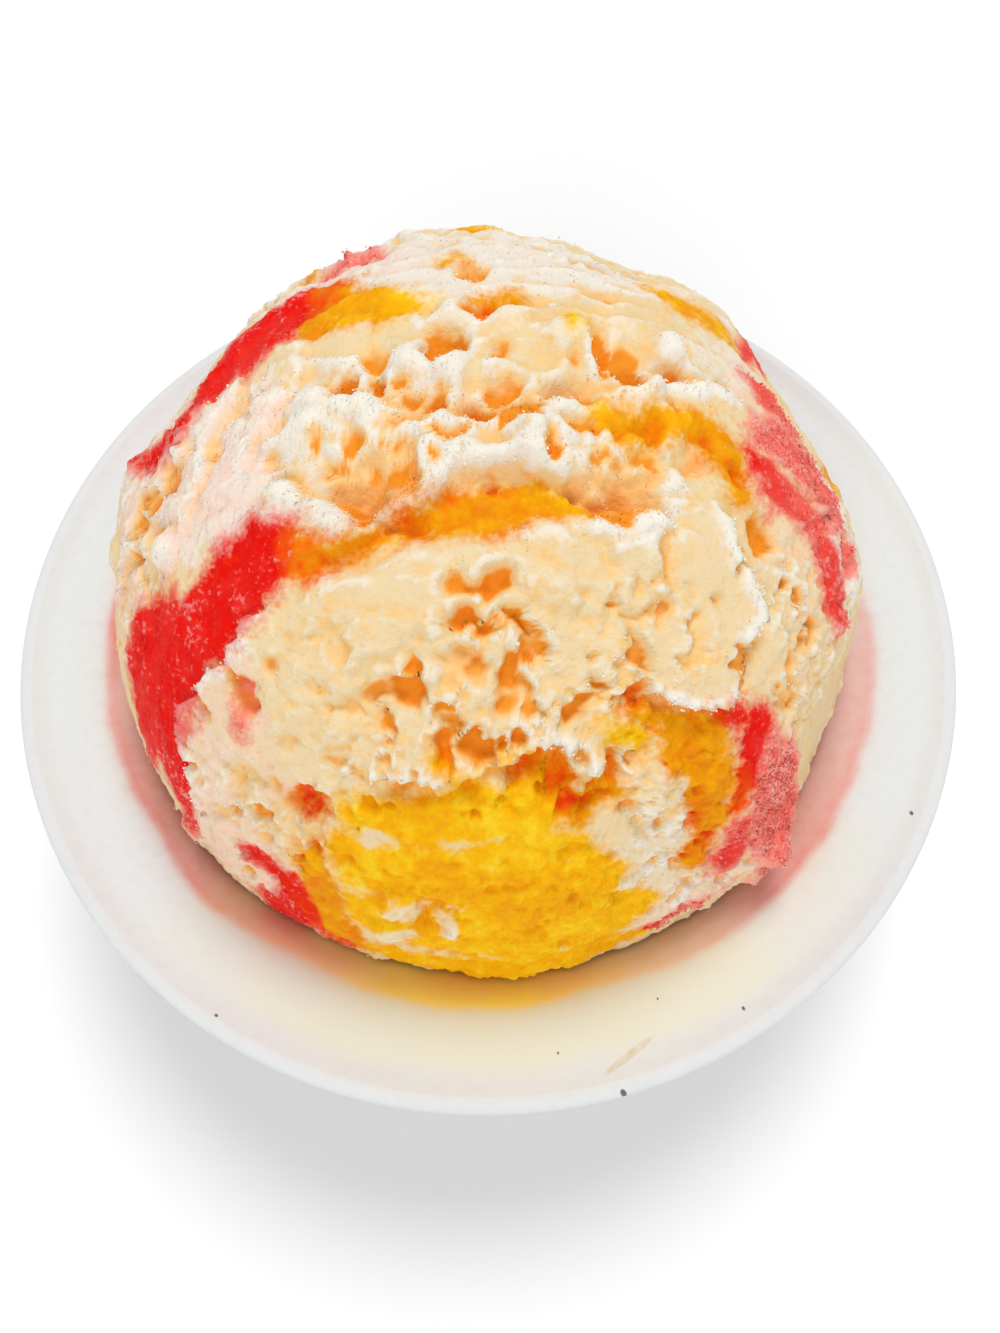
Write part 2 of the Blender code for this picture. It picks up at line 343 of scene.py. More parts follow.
def capped_faces(rings, turns):
    """The faces of a turned shape whose first and last points lie on the axis."""
    col = np.arange(turns)
    after, last = (col + 1) % turns, 1 + (rings - 1) * turns
    top = np.column_stack([0 * col, 1 + col, 1 + after])
    bottom = np.column_stack([0 * col + last + turns, last + after, last + col])
    return [*top, *ring_faces(rings, turns, start=1), *bottom]


def stained(points, topside):
    """How much syrup the fibre holds, its colour, and how creamy the near rim is, point by point.
    The soaked part ends at a wandering line on the shoulder, where the stain is deepest."""
    around = points * (1, 1, 0)
    radius = np.hypot(points[:, 0], points[:, 1])
    bearing = np.degrees(np.arctan2(points[:, 0], -points[:, 1]))
    stops = [stop[0] for stop in STAIN_STOPS]
    wander = bearing + 5 * noise(around, 12, 31)
    strength = np.interp(wander, stops, [stop[1] for stop in STAIN_STOPS])
    colours = np.array([stop[2] for stop in STAIN_STOPS])
    tint = np.column_stack([np.interp(wander, stops, colours[:, k]) for k in range(3)])
    beyond = radius - STAIN_RADIUS + 0.8 * np.cos(np.radians(bearing)) ** 4
    beyond = beyond - noise(around, 14, 33) - 0.4 * noise(around, 4, 34)
    soaked = smooth(0.5 - beyond / 1.6)
    line = np.exp(-(((beyond + 0.8) / 0.8) ** 2))
    halo = np.exp(-np.maximum(beyond, 0) / 2.2) * (1 - soaked)
    amount = strength * (0.80 * soaked + 0.12 * line + 0.34 * halo)
    near = smooth((58 + 8 * noise(around, 10, 35) - np.abs(bearing - CREAMY_BEARING)) / 36)
    outer = smooth((CREAMY_RADIUS - radius + noise(around, 8, 36)) / 4)
    cream = near * outer * smooth((radius - 50) / 8)
    inside = smooth((points[:, 2] - 1.5) / 2) * topside
    return {"stain": amount * inside, "tint": tint, "cream": cream * inside}


points, rings, topside = bowl_points()
bowl = piece("fibre_bowl", points, capped_faces(rings, BOWL_TURNS), stained(points, topside))

pulp = Finish("moulded_fibre", Specular_IOR_Level=0.25)
fibre = pulp.speckle(0.9, 4)
fleck = pulp.speckle(5.0, 3)
paper = pulp.mix(PAPER, tuple(0.94 * c for c in PAPER), fibre.step(0.45, 0.75) * 0.5)
paper = pulp.mix(paper, PAPER_CREAM, pulp.attribute("cream") * (0.72 + 0.4 * fleck))
soak = pulp.attribute("stain") + (fibre - 0.5) * 0.18
paper = pulp.mix(paper, pulp.attribute("tint", "Color"), soak.step(0.02, 0.98))
for x, y, half, turn in SPECKS:
    paper = pulp.mix(paper, SPECK_BROWN, pulp.spot(x, y, half, half * 1.4, turn) * 0.9)
smear = pulp.spot(19.9, -70.4, 4.2, 0.5, turn=35) * (fibre * 1.4 - 0.2)
paper = pulp.mix(paper, SMEAR_TAN, smear)
bowl.data.materials.append(
    pulp.done(paper, 0.78 + 0.1 * fibre, 0.12 * pulp.speckle(2.2, 3) + 0.05 * fibre)
)
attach(bowl, "root")
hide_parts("bowl")

# ------------------------------------------------------------------ the ball of ice
# Fine creamy ice pressed into a ball and scraped smooth in places: slabs that end in ragged
# lips, pockets torn out between them, and crumbly honeycomb. It rests in the bowl's well.

BALL_RADIUS = 59.6
BALL_CENTRE = np.array([0.0, 0.8, BOWL_HEIGHT - 3.3])
SEAT_GAP = 0.6
BACKWARDS = np.array([0.0, 0.91, 0.42])

# The bare cap is a square grid bent over the ball, down to an angle from its top, and drawn
# together a little at the front, where the relief is finest.
CAP_ANGLE = 97.0
CAP_STEPS = 308
FRONT_PULL = 0.3

# Relief, in millimetres: the step of a lip that is as hollow and as white as any, the width and
# depth of the cells, the pitch and rise of the shingles, and the widths of the crumbs.
FULL_STEP = 2.4
LARGE_CELL, LARGE_CELL_DEPTH = 3.4, 1.4
SMALL_CELL, SMALL_CELL_DEPTH = 1.8, 0.4
SHINGLE_PITCH, SHINGLE_RISE = 4.6, 0.5
COARSE_CRUMB, FINE_CRUMB, GRAIN = 4.4, 1.7, 0.9

# Some of these colours paint light: the tan also paints shade in dips, the edge colour paints highlight
# on raised places with some frost, and the two hollow colours paint shade in hollows, pits and under
# lips, with some syrup that collects there.
CREAM = (0.83, 0.65, 0.385)
MOTTLE_AND_SHADE_TAN = (0.88, 0.56, 0.23)
EDGE_HIGHLIGHT_AND_FROST = (0.89, 0.85, 0.745)
FROST = (0.84, 0.785, 0.71)
FROST_PINK = (0.93, 0.64, 0.54)
SHADE_AND_SPECK_TAN = (0.93, 0.61, 0.25)
DEEP_SHADE_AND_SYRUP = (0.88, 0.29, 0.010)
SYRUP_STOPS = [
    (0.0, (0.95, 0.62, 0.015)), (0.15, (0.93, 0.46, 0.002)), (0.36, (0.83, 0.29, 0.002)),
    (0.58, (0.86, 0.09, 0.003)), (0.74, (0.80, 0.005, 0.003)), (0.88, (0.87, 0.07, 0.05)),
    (1.0, (0.92, 0.22, 0.17)),
]

# Places on the ball are a bearing, 0 at the front and 90 at +X, and a height above its equator.
# Broad swellings and flats: bearing, height, reach in degrees, rise in millimetres.
SWELLINGS = [
    (150, 46, 12, -2.2), (134, 43, 9, 1.8), (110, 33, 16, -2.6), (92, 20, 12, 0.8),
    (62, 14, 14, -2.4), (43, 8, 8, 1.8), (0, 2, 14, 0.7), (-112, 36, 10, -1.4),
    (-96, 29, 9, 1.0), (-138, 48, 14, -0.8), (-172, 49, 9, 1.0), (-165, 20, 20, -1.2),
    (170, 5, 18, 1.4), (0, 90, 26, -2.8),
]

# Lips, where one layer ends over the next: the step at the edge, the width over which it falls,
# how far behind it the layer sinks back, and how far the edge leans out over the lower side, in
# millimetres, then the path of the edge. The layer is on the left of the path.
LIPS = [
    (2.6, 2.6, 6, 0.3, [(-4, 84.5), (-20, 84), (-45, 83), (-74, 79), (-91, 71.5), (-97, 66)]),
    (2.6, 2.4, 6, 0.3, [(99, 55), (98, 62), (96, 67.5), (89, 73.5), (81, 79), (66, 82),
                        (55, 85), (5, 86), (-6, 85)]),
    (1.2, 1.6, 6, 0.3, [(-76, 58), (-90, 64), (-105, 66), (-120, 63)]),
    (1.2, 1.6, 6, 0.3, [(-70, 46), (-84, 53), (-98, 56), (-112, 54)]),
    (1.0, 1.6, 6, 0.3, [(-66, 67), (-80, 71), (-92, 70)]),
    (2.6, 1.6, 6, 0.6, [(-34, 68), (-44, 67.2), (-52, 65.8), (-60, 65), (-68, 60)]),
    (3.2, 4.2, 5, 0.3, [(-37, 68.5), (-29, 72.5), (-22, 75.4), (-8, 77.6), (5, 78.4), (20, 78.2),
                        (34, 75.6), (39.5, 71.5), (38.5, 68)]),
    (2.8, 1.6, 6, 0.7, [(54, 62), (50, 64.5), (45, 66.8), (40, 68.4), (36, 69.5)]),
    (2.4, 1.2, 12, 0.9, [(27, 49), (31, 47), (38, 43.5), (44, 42.5), (48, 46), (54, 48), (57, 52),
                         (62, 57), (66, 60)]),
    (2.0, 1.2, 10, 0.7, [(-46, 56), (-46.5, 48), (-48.5, 41), (-50, 35), (-48, 29), (-45, 24),
                         (-42, 17)]),
    (1.6, 1.2, 9, 0.6, [(-24, 39.5), (-12, 42), (-3, 42.5), (4, 46), (12, 46), (15, 44),
                        (20, 42)]),
    (1.2, 2.4, 8, 0.2, [(-45, 62), (-36, 65.6), (-30, 69), (-24, 72.6)]),
    (1.2, 3.0, 8, 0.2, [(36, 69), (22, 70.6), (0, 70.2), (-12, 68.8), (-22, 67.6), (-34, 62),
                        (-46, 56)]),
    (1.3, 1.4, 6, 0.5, [(165, 75), (176, 76.5), (-172, 76.5), (-160, 74)]),
    (0.9, 2.6, 7, 0.1, [(-134, 66), (-140, 71), (-150, 73.5), (-162, 74)]),
    (1.0, 2.6, 8, 0.1, [(-98, 52), (-108, 51), (-120, 54), (-132, 57), (-140, 62)]),
    (1.6, 1.4, 8, 0.5, [(-75, 24), (-80, 34), (-84, 44), (-92, 52)]),
    (1.3, 3.0, 14, 0.1, [(-136, 14), (-133, 22), (-138, 28), (-131, 35), (-136, 41), (-144, 45),
                         (-152, 52), (-160, 51), (-168, 57)]),
    (1.4, 3.0, 14, 0.2, [(112, 12), (117, 22), (124, 21), (130, 31), (139, 27), (147, 35),
                         (156, 30), (164, 40), (176, 38)]),
]

# Lumps: bearing, height, radius and rise in millimetres.
LUMPS = [
    (110, 65.2, 2.8, 2.0), (127, 77, 3.6, 2.2), (-73, 43.5, 2.6, 1.6), (57, 49, 1.5, 1.1),
    (-12, 21, 2.6, 1.0), (-13, 15, 2.5, 1.0), (-4, 18, 1.9, 0.9), (25, 38, 4.0, 1.0),
    (43, 10, 2.6, 1.8), (40, 5, 1.8, 1.2), (-47, 8, 2.4, 1.0), (-88, 22, 3.0, 1.0),
    (19, 66, 5.0, 0.6), (-22, 60, 8.0, 0.6), (16, 43.8, 2.2, 1.0), (-127, 85.3, 2.6, 1.2),
    (-114, 80, 2.4, 1.0), (150, 86.6, 2.4, 1.0), (52, 37.5, 2.2, 0.8), (-60, 74, 2.4, 0.6),
    (-31, 72.6, 2.6, 1.0), (30, 79.6, 2.6, 0.9), (68, 84.4, 2.8, 1.0), (-50, 84.6, 2.4, 0.9),
    (-162, 77.2, 3.0, 1.0), (160, 79, 3.0, 0.9), (94, 70.6, 2.6, 1.0), (88, 74.5, 2.2, 0.9),
    (38, 81, 1.8, 1.0), (55, 78.6, 1.6, 0.8),
]

# Pockets: place, half-size across and half-size front to back in millimetres, the turn of the
# first from +X in degrees, and the depth in millimetres.
POCKETS = [
    (2.6, 65.2, 1.5, 2.4, 0, 2.6), (-4.9, 65, 1.8, 1.2, 0, 2.0), (-5.4, 60.8, 2.0, 1.1, 0, 2.2),
    (0.5, 59.7, 1.4, 1.3, 0, 2.2), (8.4, 60.4, 1.3, 1.9, 0, 2.4), (6.4, 55.2, 1.2, 2.4, -12, 2.2),
    (4.4, 52, 0.9, 1.8, -8, 1.8), (-3.4, 55.8, 2.8, 1.6, 10, 1.2), (-1.5, 55, 1.4, 1.2, 0, 1.6),
    (-5.5, 46.8, 1.1, 2.8, 0, 2.2), (-6.5, 50, 1.5, 1.0, 0, 1.8), (-0.5, 47.5, 1.7, 2.3, 0, 2.4),
    (15.8, 50.7, 2.3, 1.1, 40, 2.2), (21, 52.2, 1.6, 1.2, 0, 2.1), (27, 49.2, 1.3, 1.2, 0, 2.2),
    (30.7, 53, 1.5, 2.2, 0, 1.7), (33, 57, 2.2, 0.9, 10, 1.0), (36.4, 56.5, 1.1, 1.4, 0, 1.3),
    (46.5, 45, 1.5, 2.8, 0, 1.7), (52.5, 46, 1.1, 1.7, 0, 1.4), (7, 44.5, 2.2, 1.4, 20, 1.8),
    (11, 42.3, 2.0, 2.2, 0, 2.1), (16, 38.8, 3.2, 1.4, 8, 1.7), (14.5, 38, 1.1, 1.4, 0, 2.3),
    (19.8, 43, 1.2, 2.5, 10, 1.8), (-2, 42.5, 1.2, 1.2, 0, 1.2), (-16.5, 52, 3.8, 1.2, 0, 1.6),
    (-13, 52.3, 2.0, 1.4, 0, 2.4), (-17.2, 48.9, 1.0, 1.7, 0, 1.8), (-24, 49.4, 2.0, 1.1, 0, 1.2),
    (-17.5, 55.2, 3.6, 0.8, 18, 0.8), (-32, 54, 4.0, 0.8, 20, 0.7), (-42, 43.3, 3.2, 1.6, -60, 2.4),
    (-46.6, 37.6, 1.8, 0.7, -60, 1.8), (-27, 33.8, 4.0, 1.7, 8, 1.6), (-27, 34.6, 2.2, 0.9, 12, 2.4),
    (-37.5, 32.6, 1.2, 0.9, 0, 1.2), (-35, 33.6, 0.8, 1.2, 0, 1.2), (-32, 34.5, 1.1, 1.1, 0, 1.2),
    (-77, 42, 2.2, 2.0, 0, 2.0), (-75, 36, 1.2, 2.2, 0, 1.8), (-69, 37, 1.3, 2.0, 0, 1.8),
    (-64, 35.5, 1.2, 1.6, 0, 1.4), (-84, 38, 2.0, 2.6, 0, 1.8), (-80, 28, 1.8, 2.4, 0, 1.6),
    (-70, 24, 1.5, 2.0, 0, 1.4), (-86, 46, 2.0, 2.4, 0, 1.6),
    (-143, 81.5, 2.6, 4.0, 0, 2.8), (165, 84.2, 1.2, 2.2, 0, 2.4), (-117, 75, 1.8, 2.4, 0, 1.4),
    (-115, 74.6, 0.9, 0.9, 0, 1.9), (-98, 72.4, 1.8, 2.6, 0, 2.4), (-98, 76.8, 1.1, 2.3, 0, 2.4),
    (-101, 79.3, 0.9, 1.5, 0, 2.0), (-87, 81.3, 1.3, 1.8, 0, 2.4), (-75, 84.4, 1.9, 1.6, 0, 2.1),
    (0, 87, 2.1, 2.1, 0, 2.8), (99, 87, 2.2, 2.1, 0, 1.6), (44, 84.2, 3.8, 2.0, 0, 1.8),
    (22, 83.4, 1.2, 1.2, 0, 2.4), (176, 76.8, 4.2, 1.4, 0, 1.9), (-176, 67, 2.8, 2.6, 10, 1.6),
    (-166, 64.5, 1.1, 1.0, 0, 0.8), (157, 73.7, 1.8, 1.0, 0, 0.8), (120, 73.6, 1.3, 3.6, 0, 2.8),
    (108, 71.3, 2.2, 4.8, 0, 3.2), (118.4, 78.4, 1.2, 1.2, 0, 1.3), (102.5, 65.2, 1.4, 1.1, 0, 1.7),
    (100.5, 59, 1.6, 1.1, 0, 1.4), (84, 79.8, 3.4, 2.0, 0, 1.8), (140, 66, 2.8, 1.5, -25, 1.6),
    (-62, 79.5, 3.6, 1.1, 5, 1.2), (-28, 82.2, 3.2, 1.1, 0, 1.4), (5, 77, 1.1, 0.8, 0, 1.8),
    (-51, 73, 6.4, 5.4, 25, 1.9), (-40, 74.6, 1.9, 0.9, 40, 2.0), (-66, 74.2, 1.4, 2.2, 0, 1.5),
    (-56, 76.5, 2.2, 0.9, 0, 1.5), (-47, 69.4, 2.0, 1.1, 0, 1.7), (-38.6, 69.6, 1.5, 1.2, 0, 2.2),
    (-60, 71.2, 1.2, 1.6, 0, 1.5), (-24, 78.6, 1.0, 0.9, 0, 1.5),
    (80, 62.5, 1.2, 1.0, 0, 1.0), (72, 63.5, 1.0, 2.0, 0, 1.2), (60, 74.2, 1.0, 1.8, 0, 1.4),
    (68, 68.3, 1.1, 2.6, 0, 1.8), (54, 71.4, 6.4, 5.4, 0, 1.8), (44, 68.4, 4.2, 2.6, 0, 1.6),
    (54, 74, 1.3, 1.9, 0, 1.5), (44, 79, 1.5, 2.0, 0, 1.6), (65, 77, 2.2, 1.2, 0, 1.5),
    (73, 73, 1.6, 1.2, 0, 1.6), (77, 70.6, 2.2, 1.6, 0, 1.6), (60, 72, 0.9, 1.8, 0, 1.2),
    (66, 71, 0.8, 1.8, 0, 1.2), (68, 50.5, 2.2, 2.9, 0, 1.9),
    (75, 57, 1.2, 1.5, 0, 1.2), (51, 61, 1.2, 1.0, 0, 0.9), (37, 61, 0.9, 1.4, 0, 1.0),
    (56, 38.5, 1.2, 2.9, 10, 1.8), (62, 41, 1.1, 1.3, 0, 1.6), (60, 37.5, 1.3, 1.5, 0, 1.8),
    (63, 36, 1.5, 2.0, 0, 2.0), (53, 35, 2.9, 2.4, 0, 1.2), (52, 32.5, 0.8, 1.6, 0, 1.4),
    (58, 31, 0.8, 2.0, 0, 1.4), (54, 27, 0.8, 1.8, 0, 1.4), (62, 28, 0.9, 2.2, 0, 1.2),
    (-12, 40.6, 3.1, 1.0, -5, 1.3), (13, 32, 2.0, 1.2, -10, 0.8), (11.5, 23.5, 1.0, 0.9, 0, 0.8),
    (-8, 19, 0.9, 2.8, -25, 1.2), (45.8, 60, 1.1, 2.4, 0, 1.4), (38.8, 55.6, 1.1, 1.3, 0, 1.4),
    (29.8, 60, 1.2, 0.9, 0, 1.3), (33, 64.2, 1.2, 0.9, 0, 1.0), (67, 51, 2.4, 2.6, 0, 1.6),
    (-8.7, 40.3, 1.6, 1.0, 0, 1.2), (13, 39.8, 1.2, 2.0, -20, 2.0), (49, 52.5, 0.9, 1.1, 0, 1.0),
    (40, 48.8, 0.9, 0.8, 0, 1.0), (58.5, 53.4, 0.9, 1.3, 0, 1.2), (-19.5, 27.2, 1.2, 0.9, 0, 1.2),
    (-37.5, 23.5, 1.3, 1.0, 0, 1.3), (-31, 24.5, 1.6, 1.0, 20, 1.3), (-36, 28.5, 1.2, 1.4, 0, 1.3),
    (-45, 11, 1.1, 2.8, 0, 2.2), (-24, 30, 2.2, 1.5, 0, 0.9),
    (24, 39, 1.0, 0.8, 0, 0.9), (22, 33, 1.0, 0.8, 0, 0.9), (27, 32, 2.0, 1.0, 0, 0.9),
    (30, 31, 1.5, 1.1, 0, 0.8), (-39, 24, 1.2, 1.5, 0, 1.2), (-44, 22, 1.0, 2.0, 0, 1.2),
    (9, 64, 0.9, 0.9, 0, 0.6), (14, 62, 1.0, 0.8, 0, 0.6), (19, 60, 1.1, 0.9, 0, 0.7),
    (29.5, 58.6, 1.3, 1.0, 0, 0.8), (23, 62.5, 1.0, 0.9, 0, 0.6), (26, 57.5, 0.9, 0.8, 0, 0.7),
    (-150, 30, 5.0, 3.4, 30, 1.6), (150, 56, 4.0, 2.6, 0, 1.6), (-170, 58, 2.0, 1.2, 20, 1.4),
    (168, 20, 5.0, 3.6, -20, 1.6), (112, 20, 4.4, 3.4, 30, 1.6), (-178, 51, 2.0, 1.4, 0, 1.0),
]

# Crumbly honeycomb: place, half-sizes and turn as for pockets, and how strong it is.
CRUMBLY = [
    (2, 53, 11, 13, 0, 1.0), (8, 44, 14, 5.5, 5, 0.9), (-8, 47, 8, 4, 0, 0.8),
    (30, 54, 9, 9, 0, 0.6), (-30, 50, 10, 9, 0, 0.5), (-20, 38, 9, 5, 0, 0.7),
    (62, 36, 9, 17, 10, 0.95), (80, 34, 11, 14, 0, 0.9), (-96, 42, 12, 12, 0, 0.9),
    (-76, 36, 8, 15, 0, 0.9), (-36, 28, 13, 8, -30, 1.0),
    (25, 36, 6, 6, 0, 0.8), (-5, 87, 26, 9, 0, 0.5), (110, 74, 12, 10, 0, 0.5),
    (54, 71, 9, 7, 0, 0.95), (-52, 72, 9, 7, 0, 0.9), (30, 14, 10, 8, 20, 0.8),
    (24, 26, 8, 8, 0, 0.8), (-86, 56, 14, 12, 0, 0.45),
    (-38, 16, 10, 9, -30, 1.0), (-100, 30, 9, 10, 0, 0.7), (160, 40, 26, 18, 0, 0.6),
    (-150, 35, 26, 18, 0, 0.6), (100, 20, 18, 18, 0, 0.6), (-170, 8, 40, 10, 0, 0.7),
    (5, 80, 22, 4, 0, 0.3), (2, 20, 20, 12, 0, 0.35), (35, 33, 8, 10, 0, 0.45),
]

# Frosty ground: place, half-sizes and turn, and how strong it is.
FROSTED = [
    (-80, 58, 16, 13, 35, 1.0), (-150, 62, 22, 12, 0, 1.0), (170, 62, 26, 9, 0, 1.0),
    (-90, 74, 14, 7, 0, 0.7), (-50, 84, 20, 4, 0, 0.8), (-56, 62, 9, 4, 30, 0.8),
    (20, 82, 16, 4, 0, 0.6), (46, 64.5, 5, 2.2, -10, 0.9), (100, 68, 10, 5, 0, 0.8),
    (-48, 34, 6, 14, 10, 0.4), (110, 55, 9, 6, 0, 0.6), (62, 46, 6, 6, 0, 0.3),
    (24, 27, 6, 8, 0, 0.5), (30, 14, 8, 5, 20, 0.4), (84, 32, 9, 15, 0, 0.6), (-98, 36, 8, 15, 0, 0.5),
]

# Pinkish ground, where a little red has run into the cream.
BLUSHED = [
    (-88, 52, 15, 16, 30, 0.75), (-78, 32, 8, 16, 0, 0.8), (-45, 40, 8, 10, 0, 0.6),
    (-100, 36, 10, 14, 0, 0.7), (-38, 16, 12, 11, -30, 0.9), (-40, 26, 8, 6, -30, 0.7),
    (-55, 60, 10, 5, 30, 0.5), (30, 12, 12, 7, 20, 0.75),
    (72, 46, 5, 12, 20, 0.5), (54, 33, 5, 5, 0, 0.4), (-150, 56, 12, 6, 0, 0.6),
    (102, 50, 8, 5, 0, 0.6), (40, 52, 5, 4, 0, 0.15), (-30, 34, 6, 4, 0, 0.6),
]

# Syrup: strokes through the ice, each with its places, half-widths in millimetres and hues, which
# run from 0 for pale yellow through 1 orange and 3 red to 4 for pink slush.
SYRUP = [
    [(-97, 48, 2.6, 3.3), (-106, 49.5, 5.2, 3.1), (-117, 53.5, 6.4, 3.1), (-127, 57, 6.6, 3),
     (-131, 59.5, 6.2, 2.2), (-131, 62.5, 6.2, 1.3), (-134, 65.5, 5.4, 1.0), (-138, 69, 4.0, 0.7),
     (-146, 72, 2.6, 0.35), (-158, 74.3, 1.3, 0.1)],
    [(-101, 48, 2.2, 3.2), (-96, 46.5, 3.6, 3), (-94, 42, 3.2, 3), (-96, 37, 1.8, 3.1),
     (-100, 30, 1.4, 3.1)],
    [(-54, 57, 4.6, 3), (-54, 51, 5.8, 3), (-54.5, 44.5, 5.6, 3), (-54.5, 38, 5.6, 3),
     (-54, 32, 6.0, 3), (-53.5, 26, 6.0, 3), (-51, 20, 5.4, 3), (-48.5, 15, 3.6, 3.1),
     (-47, 10, 1.6, 3.6)],
    [(-63, 40, 3.6, 3.1), (-63, 33, 6.2, 3.1), (-61, 26, 6.4, 3.1), (-58, 19, 5.0, 3.2),
     (-57, 13, 2.4, 3.6)],
    [(-49, 60, 3.4, 2.4), (-46, 60.8, 3.2, 1.6), (-41, 63, 2.5, 1.4), (-35, 66, 2.0, 1.2),
     (-30, 68, 2.2, 1.0), (-24, 70.6, 2.6, 1.3), (-14, 72, 3.1, 1.3), (0, 73.2, 3.2, 1.2),
     (12, 73.8, 2.9, 1.0), (22, 73.4, 2.4, 0.8), (31, 72, 2.0, 0.6), (35, 70.4, 1.2, 0.2)],
    [(78, 76, 1.2, 0.3), (71, 75, 2.2, 0.4), (71, 72, 2.4, 0.5), (76, 70, 2.4, 0.7),
     (82, 66, 3.0, 1.0), (82, 62.5, 3.0, 1.2), (78, 59, 3.2, 1.4), (74, 57, 2.4, 1.2)],
    [(82, 55.5, 2.2, 2.9), (80.5, 53, 3.0, 3.3), (79, 48.5, 3.6, 3.6), (77, 42, 3.4, 3.8),
     (74.5, 37.5, 4.2, 3.5), (72.5, 33, 4.2, 3.4), (71, 29.5, 2.6, 3.6)],
    [(90, 53, 4.0, 4), (90, 46, 5.0, 4), (87, 38, 5.0, 4), (82, 31, 3.4, 4)],
    [(108, 52, 1.6, 3.8), (103, 50, 3.0, 3.7), (101, 46.5, 2.8, 3.9), (98, 43, 1.6, 4)],
    [(138, 55, 1.6, 0.5), (130, 54, 3.0, 0.8), (122, 51, 3.0, 1.0), (117, 48, 1.6, 1.3)],
    [(26, 47.5, 1.5, 1.4), (31, 44, 2.6, 1.2), (34, 40, 4.8, 1.2), (34, 34, 5.2, 1.4),
     (33, 28.5, 3.8, 1.5), (29, 23, 2.0, 1.4)],
    [(21, 46, 1.8, 0.4), (25, 44.5, 1.6, 0.4)],
    [(39, 42, 1.4, 1.8), (41, 40, 2.4, 2.8), (43.5, 36.5, 3.2, 3), (42.5, 32.5, 2.8, 3.1),
     (38, 27, 2.4, 2.3)],
    [(45.5, 30, 3.2, 4), (45.5, 25, 5.6, 4), (45.5, 18, 6.4, 4), (46, 11, 5.6, 4), (42, 5, 3.2, 4)],
    [(38, 22, 2.6, 3.7), (35, 18, 2.8, 3.4)],
    [(34, 9, 1.4, 3.9), (27, 8, 2.6, 4), (21, 7, 1.6, 3.6)],
    [(-17, 36, 3.4, 0.5), (-9, 36.5, 4.8, 0.5), (0, 39, 4.6, 0.4), (7, 39, 4.4, 0.5)],
    [(-16, 28, 5.2, 0.6), (-4, 28, 7.0, 0.6), (9, 29, 7.0, 0.6), (15, 26, 4.4, 0.6)],
    [(-14, 17, 6.2, 0.7), (0, 17, 7.0, 0.7), (15, 17, 7.6, 0.6)],
    [(-17, 6, 3.4, 0.9), (-8, 5, 5.0, 0.7), (4, 5, 7.0, 0.6), (15, 6, 5.6, 0.8), (21, 6, 3.0, 1)],
    [(-24, 25, 3.0, 0.9), (-24, 20, 4.0, 1.2), (-21, 14, 4.0, 1.3), (-19, 8, 3.4, 1.2)],
    [(-41.5, 43.5, 0.5, 3.8), (-39, 39, 0.6, 3.9)], [(-27, 34, 0.9, 1.7), (-23, 33.5, 0.6, 1.5)],
    [(136, 74.5, 1.3, 0.2), (128, 76.5, 1.3, 0.2)],
    [(-32, 18.5, 2.4, 3.1), (-27.5, 17.5, 3.6, 2.9), (-25, 12, 4.2, 2.8), (-29, 7, 4.6, 3.1),
     (-30, 1, 4.4, 3.2)],
    [(-24, 9, 3.0, 2.4), (-21, 4, 3.0, 2.2)],
    [(-7, 45, 1.2, 0.5), (-3, 43, 1.6, 0.5), (3, 44.5, 2.0, 0.5)],
    [(7, 45, 2.0, 1), (11, 42, 3.0, 1.2), (13, 38.5, 2.8, 1.3), (18, 39.5, 2.6, 0.9)],
    [(20, 43, 1.4, 1.1), (19.5, 40, 1.4, 1.0)],
    [(-174, 75.5, 0.8, 1), (178, 75.3, 0.9, 1), (166, 74.5, 0.8, 1)],
    [(-180, 50, 2.4, 0.7), (-178, 50, 2.4, 0.7)],
    [(-173, 63.5, 1.6, 0.9), (-168, 64, 1.2, 0.9)], [(-144, 49, 2.6, 3.9), (-152, 51, 2.0, 4)],
    [(-116, 36, 2.0, 3.4), (-124, 26, 5.0, 3), (-122, 14, 6.2, 3.1), (-117, 4, 4.6, 3.3)],
    [(-133, 30, 1.6, 2.2), (-135, 20, 3.4, 1.6), (-131, 8, 3.0, 1.2)],
    [(-142, 44, 1.8, 1.0), (-151, 35, 5.0, 0.8), (-162, 28, 3.4, 0.6), (-172, 30, 1.4, 0.5)],
    [(116, 46, 1.6, 3.7), (123, 37, 3.8, 3.1), (129, 27, 5.0, 3), (128, 14, 3.4, 3.2)],
    [(137, 25, 2.6, 4), (137, 12, 4.4, 4)], [(98, 30, 1.6, 1.2), (103, 20, 3.8, 0.9), (106, 8, 5, 0.8)],
    [(148, 28, 3.4, 0.9), (158, 18, 7.4, 0.6), (170, 8, 7.0, 0.7), (-178, 16, 4.4, 1.1)],
    [(174, 42, 1.6, 0.5), (-178, 35, 3.8, 0.6), (-173, 22, 2.2, 0.9)],
]

# Cream crumbs that lie over the syrup: place, half-sizes and turn.
OVER_SYRUP = [
    (-11, 20.5, 2.8, 2.0, 0), (-11.5, 14.5, 2.6, 1.8, 0), (-5, 19, 1.6, 2.6, 0),
    (-16, 33, 1.6, 1.0, 20), (22.5, 41, 1.8, 3.0, 10), (23.5, 36, 2.0, 2.6, -20),
    (27.5, 35, 1.6, 2.0, 0), (21, 30, 2.6, 2.0, 20), (26, 27, 2.4, 1.8, 0), (24, 20, 1.8, 2.4, 0),
    (20.5, 23.5, 1.6, 1.4, 0), (16.5, 43, 2.6, 1.0, -15), (14, 40.6, 1.0, 0.8, 0),
    (160, 20, 2.6, 1.8, 20), (153, 13, 1.8, 2.4, 0), (172, 11, 2.2, 1.4, -20),
]


def direction(bearing, height):
    """The unit vector from the ball's centre towards a bearing and a height."""
    b, h = np.radians(bearing), np.radians(height)
    return np.stack([np.sin(b) * np.cos(h), -np.cos(b) * np.cos(h), np.sin(h)], -1)


